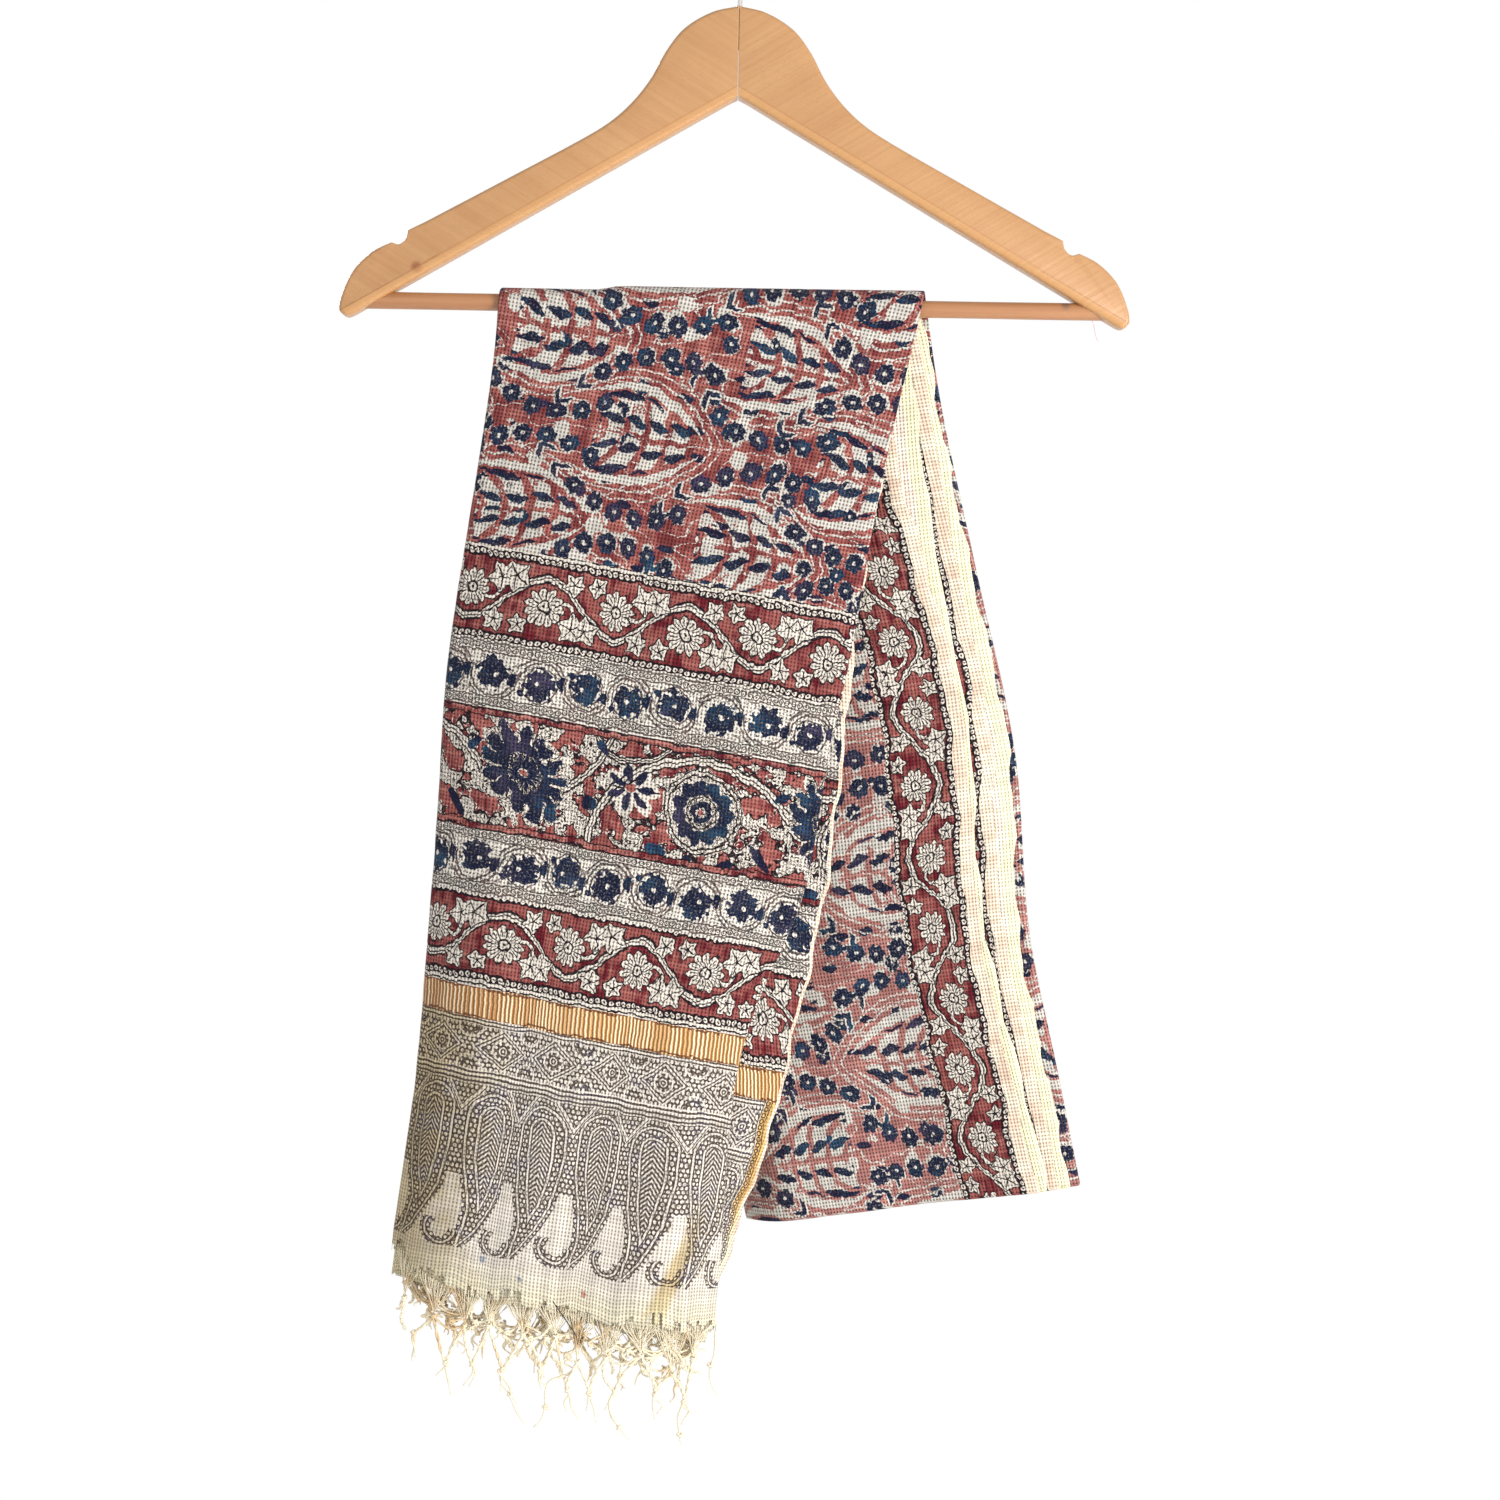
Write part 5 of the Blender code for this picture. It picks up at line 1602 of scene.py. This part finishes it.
def make_fringe(name, half, seed):
    """Webs, first knots, crossed strands, second knots and tails of one hem, as one mesh.

    Places are (across, drop, out). The axes are the quarter, the knot and then the thread.
    """
    chance = np.random.default_rng(seed)
    column, layer, share = (np.array(v)[:, None] for v in zip(*FRINGE_QUARTERS[half]))
    spacing = (QUARTER + np.array(FAN[1])[column] * MM - 2 * KNOT_INSET) / KNOTS
    root = KNOT_INSET + spacing * (np.arange(KNOTS) + 0.5)

    def pushed(count, aside, drop, out):
        """Random steps aside, down and out for count knots in each quarter."""
        shape = (len(share), count)
        return MM * np.stack([chance.normal(0, aside, shape), chance.uniform(*drop, shape) * share,
                              chance.normal(0, out, shape)], axis=-1)

    first = np.stack([root, -frayed(root), 0 * root], axis=-1) + pushed(KNOTS, 2.4, (11, 26), 1.2)
    second = (first[:, 1:] + first[:, :-1]) / 2 + pushed(KNOTS - 1, 2.6, (13, 25), 1.0)

    spread = ((np.arange(WEB_THREADS) + 0.5) / WEB_THREADS - 0.5) * 1.25
    begin = (root[..., None] + spread * spacing[..., None]).clip(1.0 * MM, None)[..., None]
    t = np.linspace(0, 1, 8)
    wave, pull = np.sin(np.pi * t) * MM, ease(t) ** 0.9
    knot = first[:, :, None, None]
    across = begin * (1 - pull) + knot[..., 0] * pull + chance.normal(0, 0.6, begin.shape) * wave
    drop = (-frayed(begin) - 4.5 * MM) * (1 - t) + knot[..., 1] * t
    out = knot[..., 2] * t + chance.normal(0, 0.4, begin.shape) * wave
    webs = hung(np.stack([across, drop, out], axis=-1), layer[..., None, None])
    parts = [tubes(webs.reshape(-1, len(t), 3), 0.22 * MM, 4)]

    gap = np.full((len(share), 1, 3), np.nan)
    ends = np.stack([np.concatenate([gap, second], axis=1),
                     np.concatenate([second, gap], axis=1)], axis=2)
    free = np.isnan(ends[..., 0]) | (chance.random(ends.shape[:3]) < LOOSE)
    hanging = first[:, :, None] + MM * np.stack([
        np.array([-1.0, 1.0]) * chance.uniform(1, 9, free.shape),
        chance.uniform(7, 20, free.shape) * share[..., None],
        chance.normal(0, 2.0, free.shape)], axis=-1)
    ends = np.where(free[..., None], hanging, np.nan_to_num(ends))
    bow, curl = (chance.normal(0, 2.2, free.shape) * MM for _ in range(2))
    crossed = strand(np.broadcast_to(first[:, :, None], ends.shape), ends, 1.0, bow, curl * free)
    parts.append(twisted(chance, crossed, layer[..., None], 0.6 * MM, 0.46 * MM))

    level = chance.random(second.shape[:2]) < 0.25
    bow = chance.normal(0, 0.8, level.sum()) * MM
    swags = strand(first[:, :-1][level], first[:, 1:][level], 2.5, bow)
    parts.append(twisted(chance, swags, np.broadcast_to(layer, level.shape)[level],
                         0.56 * MM, 0.42 * MM))

    upper, lower = (hung(row, layer).reshape(-1, 3) for row in (first, second))
    hearts = np.concatenate([upper, lower])
    parts.append(knots(chance, hearts))
    longest = np.broadcast_to(share, second.shape[:2]).ravel() * 20.0 * MM
    parts.append(tails(chance, lower, longest))
    if half == "T":
        parts += strays(chance, hearts)
    points, faces = join(parts)
    print(name, "faces", len(faces), "lowest", points[:, 2].min().round(4))
    return mesh_object(name, points, faces)


def yarn_finish():
    """Undyed cotton: cream to tan from bundle to bundle and towards the left, with fine darker
    specks of painted shade and a fine twist.
    """
    f = Finish("fringe_yarn", 0.95, Specular_IOR_Level=0.1, Sheen_Weight=0.1)
    where = f.where()
    x, _, _ = f.parts(where)
    tone = f.noise(where, 70.0, 2.0) + f.grade(x, -0.04, -0.16, 0.0, 0.08)
    fine = f.noise(where, 900.0, 2.0)
    # painted shade: fine darker tan specks, scattered by noise, stand in for the shade between the
    # fibres
    f.feed("Base Color", f.lay(
        daylight(264, 253, 226), (f.grade(tone, 0.54, 0.72), daylight(238, 210, 168)),
        (f.grade(fine, 0.42, 0.7, 0.0, 0.3), daylight(216, 188, 142))))
    f.bump(fine, 0.0002)
    return f.material


outer_fringe = make_fringe("outer_fringe", "T", 11)
inner_fringe = make_fringe("inner_fringe", "U", 23)
yarn = yarn_finish()
for piece in (outer_fringe, inner_fringe):
    dress(piece, yarn)

# %% [markdown]
# Two loose threads don't belong to the fringe: a dark one caught in the hem and a fine pink
# one that hangs from the bar's right end. They are the same tubes along smoothed corners.

# %% Loose threads
DARK_THREAD = ((-91.8, -796.0), (-83.0, -808.2), (-77.6, -815.6), (-77.5, -820.1))
PINK_THREAD = ((201.8, -243.2), (202.9, -246.6), (203.3, -250.4), (204.9, -255.0))


def loose_thread(corners, depth, radius):
    """Points and faces of one thread; depth is its Y at each end, in mm."""
    flat = np.array(corners)
    y = np.linspace(depth[0], depth[1], len(flat))
    line = smooth_line(np.stack([flat[:, 0], y, flat[:, 1]], axis=1) * MM, 18)
    return tubes(line[None], radius, 5)


FRONT_AT_HEM = hang(118.0 * MM, 7.0, 4.0 * MM)[1] / MM
dark_line = loose_thread(DARK_THREAD, (FRONT_AT_HEM - 0.9, FRONT_AT_HEM - 1.6), 0.3 * MM)
dark_thread = mesh_object("dark_thread", *dark_line)
dress(dark_thread, mottled("dark_thread", 700.0, daylight(48, 42, 40), daylight(24, 20, 22)))
pink_thread = mesh_object("pink_thread", *loose_thread(PINK_THREAD, (-0.6, -2.4), 0.16 * MM))
dress(pink_thread, mottled("pink_thread", 700.0, daylight(250, 206, 214), daylight(226, 160, 176)))
print("front of the cloth at the hem", FRONT_AT_HEM.round(1), "mm")

# %% [markdown]
# ## The hanger
# The arms are flat boards of beech cut to an outline and rounded over along their edges. A
# profile works well: the outline is one parameter, and the way through the thickness, with
# a quarter circle at each edge, is the other. At the centre seam the two boards are glued
# before they are sanded, so the rounding there is almost nothing.

# %% Arms
ARM_THICKNESS = 14.0 * MM
HEAD_Z = -70.0 * MM
SEAM = 0.3 * MM
ARM_OUTLINE = (
    # out_mm, below_head_mm
    (0, 0), (15.1, 3.6), (30.5, 12.9), (40.6, 25.6), (49, 41.2), (58.4, 53.9), (70, 65),
    (84.6, 74.7), (127.2, 98.3), (184, 129.4), (185.2, 134.2), (189, 137.4), (193.3, 136.4),
    (203.6, 141.2), (213.9, 151), (219.7, 162.4), (222.3, 174.1), (218.4, 177.6), (213, 175.7),
    (0, 50.8),
)
CORNERS = (0, 9, 12, 19)  # rows of the outline where it isn't smooth
EDGE_ROUND = 2.4 * MM
NOTCH_AT = 188.5 * MM  # the strap notch is too tight for a wide rounding
NOTCH_ROUND = 0.8 * MM
NOTCH_REACH = (6.0 * MM, 14.0 * MM)
SEAM_ROUND = 0.35 * MM
OUTLINE_STEPS = 12
ROUND_STEPS = 5


def solid(name, points, faces, sharp=None):
    """A closed mesh with its faces outwards, and edges of over `sharp` degrees left sharp."""
    thing = mesh_object(name, points, faces)
    shape = bmesh.new()
    shape.from_mesh(thing.data)
    bmesh.ops.recalc_face_normals(shape, faces=shape.faces)
    shape.to_mesh(thing.data)
    shape.free()
    if sharp:
        thing.data.set_sharp_from_angle(angle=math.radians(sharp))
    return thing


def smooth_outline():
    """Catmull-Rom cubics between the rows, with the slope broken at the corners."""
    rows = np.array(ARM_OUTLINE)
    count = len(rows)
    out = []
    for k in range(count - 1):
        p1, p2 = rows[k], rows[k + 1]
        p0 = rows[k - 1] if k not in CORNERS else 2 * p1 - p2
        p3 = rows[(k + 2) % count] if (k + 1) not in CORNERS else 2 * p2 - p1
        steps = OUTLINE_STEPS if k < count - 2 else 40
        t = (np.arange(steps) / steps)[:, None]
        scale = np.linalg.norm(p2 - p1)
        m1 = (p2 - p0) / (np.linalg.norm(p2 - p1) + np.linalg.norm(p1 - p0)) * scale
        m2 = (p3 - p1) / (np.linalg.norm(p3 - p2) + scale) * scale
        out.append((2 * t**3 - 3 * t**2 + 1) * p1 + (t**3 - 2 * t**2 + t) * m1
                   + (3 * t**2 - 2 * t**3) * p2 + (t**3 - t**2) * m2)
    seam = rows[-1] + (rows[0] - rows[-1]) * np.linspace(0, 1, 4)[:-1, None]
    return np.concatenate([*out, seam])


def make_arm(name, side):
    """Rings of the outline through the thickness, each pulled in along its own normals.

    A ring at angle t of the rounding lies r(1 - sin t) inside and r(1 - cos t) off the face.
    """
    outline = smooth_outline() * MM
    seam = outline[:, 0] < 0.2 * MM
    before, after = np.roll(outline, 1, axis=0), np.roll(outline, -1, axis=0)
    direction = after - before
    direction /= np.linalg.norm(direction, axis=1, keepdims=True)
    inward = np.stack([-direction[:, 1], direction[:, 0]], axis=1)
    inward[seam] = (1.0, 0.0)
    from_notch = np.where(outline[:, 1] < 145 * MM, np.abs(outline[:, 0] - NOTCH_AT), 1.0)
    wide = ease((from_notch - NOTCH_REACH[0]) / (NOTCH_REACH[1] - NOTCH_REACH[0]))
    radius = np.where(seam, SEAM_ROUND, NOTCH_ROUND + (EDGE_ROUND - NOTCH_ROUND) * wide)
    outline[:, 0] = np.maximum(outline[:, 0], SEAM / 2)
    t = np.linspace(0, np.pi / 2, ROUND_STEPS)
    t = np.concatenate([t, t[::-1]])[:, None]
    face = np.repeat([-1.0, 1.0], ROUND_STEPS)[:, None]
    flat = outline + inward * (radius * (1 - np.sin(t)))[..., None]
    depth = face * (ARM_THICKNESS / 2 - radius * (1 - np.cos(t)))
    points = np.stack([side * flat[..., 0], depth, HEAD_Z - flat[..., 1]], axis=-1)
    rings, columns = depth.shape
    faces = quads(rings, columns, closed=True).tolist()
    faces += [list(range(columns))[::-1], list(range((rings - 1) * columns, rings * columns))]
    return solid(name, points, faces, 38)


left_arm = make_arm("left_arm", -1)
right_arm = make_arm("right_arm", 1)
print("arm faces", len(left_arm.data.polygons))

# %% [markdown]
# The bar is a turned dowel and the hook a bent wire: both are circles carried along a path.
# The path of the hook is straight up its shank, then a smooth swing and an arc over the
# rail, and the wire's end is rounded by shrinking the last rings.

# %% Bar and hook
BAR_RADIUS = 4.8 * MM
BAR_HALF = 215.7 * MM
WIRE_RADIUS = 1.7 * MM
CROOK_RADIUS = 18.0 * MM
CROOK_STARTS = -52.0
CROOK_SWEEP = 245.0
SHANK_FOOT = -93.7 * MM
SHANK_LEAVES = -58.0 * MM
SWING_REACH = 11.0 * MM


def make_bar():
    """A dowel: even stations along X, the radius wavering by a twentieth of a millimetre."""
    x = np.linspace(-BAR_HALF, BAR_HALF, 60)
    path = np.stack([x, np.zeros_like(x), np.full_like(x, BAR_Z)], axis=-1)[None]
    radius = BAR_RADIUS + 0.05 * MM * np.sin(x * 61) * np.sin(x * 23 + 1)
    radius[[0, -1]] -= 0.5 * MM
    return solid("bar", *tubes(path, radius, 40), 40)


def hook_path():
    """Up the shank, a cubic swing out to the side, and the crook's arc about its centre."""
    radius = CROOK_RADIUS + WIRE_RADIUS
    join_angle = math.radians(CROOK_STARTS)
    centre = np.array([0.0, -CROOK_RADIUS])
    p0 = np.array([0.0, SHANK_LEAVES])
    p3 = centre + radius * np.array([math.cos(join_angle), math.sin(join_angle)])
    p1 = p0 + (0.0, SWING_REACH)
    p2 = p3 - SWING_REACH * np.array([-math.sin(join_angle), math.cos(join_angle)])
    t = np.linspace(0, 1, 15)[:, None]
    swing = p0 * (1 - t) ** 3 + p1 * 3 * t * (1 - t) ** 2 + p2 * 3 * t * t * (1 - t) + p3 * t**3
    angle = join_angle + math.radians(CROOK_SWEEP) * np.linspace(0, 1, 61)[1:]
    crook = centre + radius * np.stack([np.cos(angle), np.sin(angle)], axis=1)
    shank = np.stack([np.zeros(6), np.linspace(SHANK_FOOT, SHANK_LEAVES, 7)[:-1]], axis=1)
    route = np.concatenate([shank, swing, crook])
    return np.stack([route[:, 0], np.zeros(len(route)), route[:, 1]], axis=1)


def make_hook():
    """The wire, with three more rings past its end on a quarter circle."""
    path = hook_path()
    heading = path[-1] - path[-2]
    heading /= np.linalg.norm(heading)
    angle = np.radians((30, 60, 84))
    cap = path[-1] + heading * np.sin(angle)[:, None] * WIRE_RADIUS * 0.6
    radius = np.concatenate([np.full(len(path), WIRE_RADIUS), WIRE_RADIUS * np.cos(angle)])
    return solid("hook", *tubes(np.concatenate([path, cap])[None], radius, 20))


bar = make_bar()
hook = make_hook()
print("hook box", [round(v * 1000, 1) for v in hook.dimensions])

# %% [markdown]
# ## Beech and wire
# Beech is pale and even, with a fine straight grain and short dark flecks. The grain has to
# run along each arm, so the object coordinates are turned to the arm's slope before the
# noise is stretched along it. A knot and a rubbed grey mark are put where the photograph
# has them, and along the arms' lower edge a dark line and an orange band are painted shade
# of the rounded underside. The varnish is a thin coat over the wood.

# %% Wood
ARM_SLOPE = math.radians(31.0)
cos_of_arm, sin_of_arm = math.cos(ARM_SLOPE), math.sin(ARM_SLOPE)
UNDERSIDE_SLOPE = (175.7 - 50.8) / 213.0  # of the arms' lower edge
UNDERSIDE_RISE = 70.0 + 50.8
UNDERSIDE_SQUARE = 0.8626  # cosine of that edge's slope: from a rise to a distance
KNOT = (-178.9, -220.2)
SMUDGE = (186.3, -234.4)


def beech_finish(name, slope, light, dark):
    """Grain: noise squeezed across the fibres; flecks: a second one, thresholded."""
    f = Finish(name, 0.42, Coat_Weight=0.35, Coat_Roughness=0.25)
    where = f.where()
    turned = f.node("ShaderNodeMapping", None, {"Vector": where, "Rotation": (0.0, slope, 0.0)})
    x, y, z = f.parts(turned)
    grain = f.noise(f.point(x * 14.0, y * 300.0, z * 420.0), 1.0, 4.0)
    broad = f.noise(f.point(x * 5.0, y * 40.0, z * 60.0), 1.0, 2.0)
    fleck = f.noise(f.point(x * 420.0, y * 900.0, z * 2400.0), 1.0, 1.0)
    tone = grain * 0.55 + broad * 0.45
    px, _, pz = f.parts(where)
    px, pz = px * 1000.0, pz * 1000.0
    flat = f.point(px, pz)
    dx, dz = px - KNOT[0], pz - KNOT[1]
    streak = f.length((dx * cos_of_arm + dz * sin_of_arm - 9.0) / 8.0,
                      (dz * cos_of_arm - dx * sin_of_arm) / 0.9)
    colour = f.lay(
        light, (f.grade(tone, 0.32, 0.7), dark),
        (f.grade(fleck, 0.62, 0.74, 0.0, 0.35), daylight(172, 114, 66)),
        (f.grade(f.distance(flat, *KNOT), 4.6, 1.2, 0.0, 0.85), daylight(150, 78, 34)),
        (f.grade(streak, 1.0, 0.4, 0.0, 0.5), daylight(172, 108, 60)))
    # painted shade: a dark line about 5 mm above the arms' lower edge and an orange band below it,
    # for the rounded underside
    if slope:
        rise = (abs(px) * UNDERSIDE_SLOPE + pz + UNDERSIDE_RISE) * UNDERSIDE_SQUARE
        colour = f.lay(
            colour, (f.grade(rise, 5.0, 4.4, 0.0, 0.45), daylight(222, 164, 100)),
            (f.grade(abs(rise - 4.8), 0.7, 0.2, 0.0, 0.4), daylight(176, 116, 62)))
    mark = f.distance(flat, *SMUDGE) + (broad - 0.5) * 8.0
    f.feed("Base Color", f.mix(f.grade(mark, 4.0, 1.0, 0.0, 0.6), colour, daylight(92, 82, 78)))
    f.feed("Roughness", f.grade(tone, 0.3, 0.7, 0.36, 0.5))
    f.bump(grain, 0.00025)
    return f.material


LIGHT_BEECH = daylight(208, 157, 104)
DARK_BEECH = daylight(197, 143, 91)
dress(left_arm, beech_finish("beech_left", -ARM_SLOPE, LIGHT_BEECH, DARK_BEECH))
dress(right_arm, beech_finish("beech_right", ARM_SLOPE, LIGHT_BEECH, DARK_BEECH))
dress(bar, beech_finish("bar_beech", 0.0, daylight(196, 138, 92), daylight(176, 118, 74)))


def wire_finish():
    """Plated steel: a bright metal with faint drawing lines."""
    f = Finish("bright_wire", 0.24, Metallic=1.0)
    where = f.where()
    scratch = f.noise(where, 1500.0, 2.0)
    f.feed("Base Color", f.mix(scratch, (0.72, 0.70, 0.66, 1.0), (0.62, 0.60, 0.57, 1.0)))
    f.feed("Roughness", f.grade(scratch, 0.3, 0.7, 0.18, 0.32))
    return f.material


dress(hook, wire_finish())

# %% [markdown]
# ## Handing the pieces to the frame
# Every piece rides on the one body, and each piece that stands for a solid of the CAD model
# hides that solid.

for piece, node, slot in (
    (cloth, "dupatta_cloth", "printed_cotton"),
    (outer_fringe, "fringe_outer_end", "fringe_yarn"),
    (inner_fringe, "fringe_inner_end", "fringe_yarn"),
    (left_arm, "hanger_arm_left", "beech"),
    (right_arm, "hanger_arm_right", "beech"),
    (bar, "hanger_bar", "bar_beech"),
    (hook, "hanger_hook", "bright_wire"),
):
    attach(piece, "root")
    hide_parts(node)
for piece in (dark_thread, pink_thread):
    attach(piece, "root")


dress(floor, mottled("pale_floor", 3.0, (0.90, 0.90, 0.89, 1.0), (0.87, 0.87, 0.86, 1.0)))
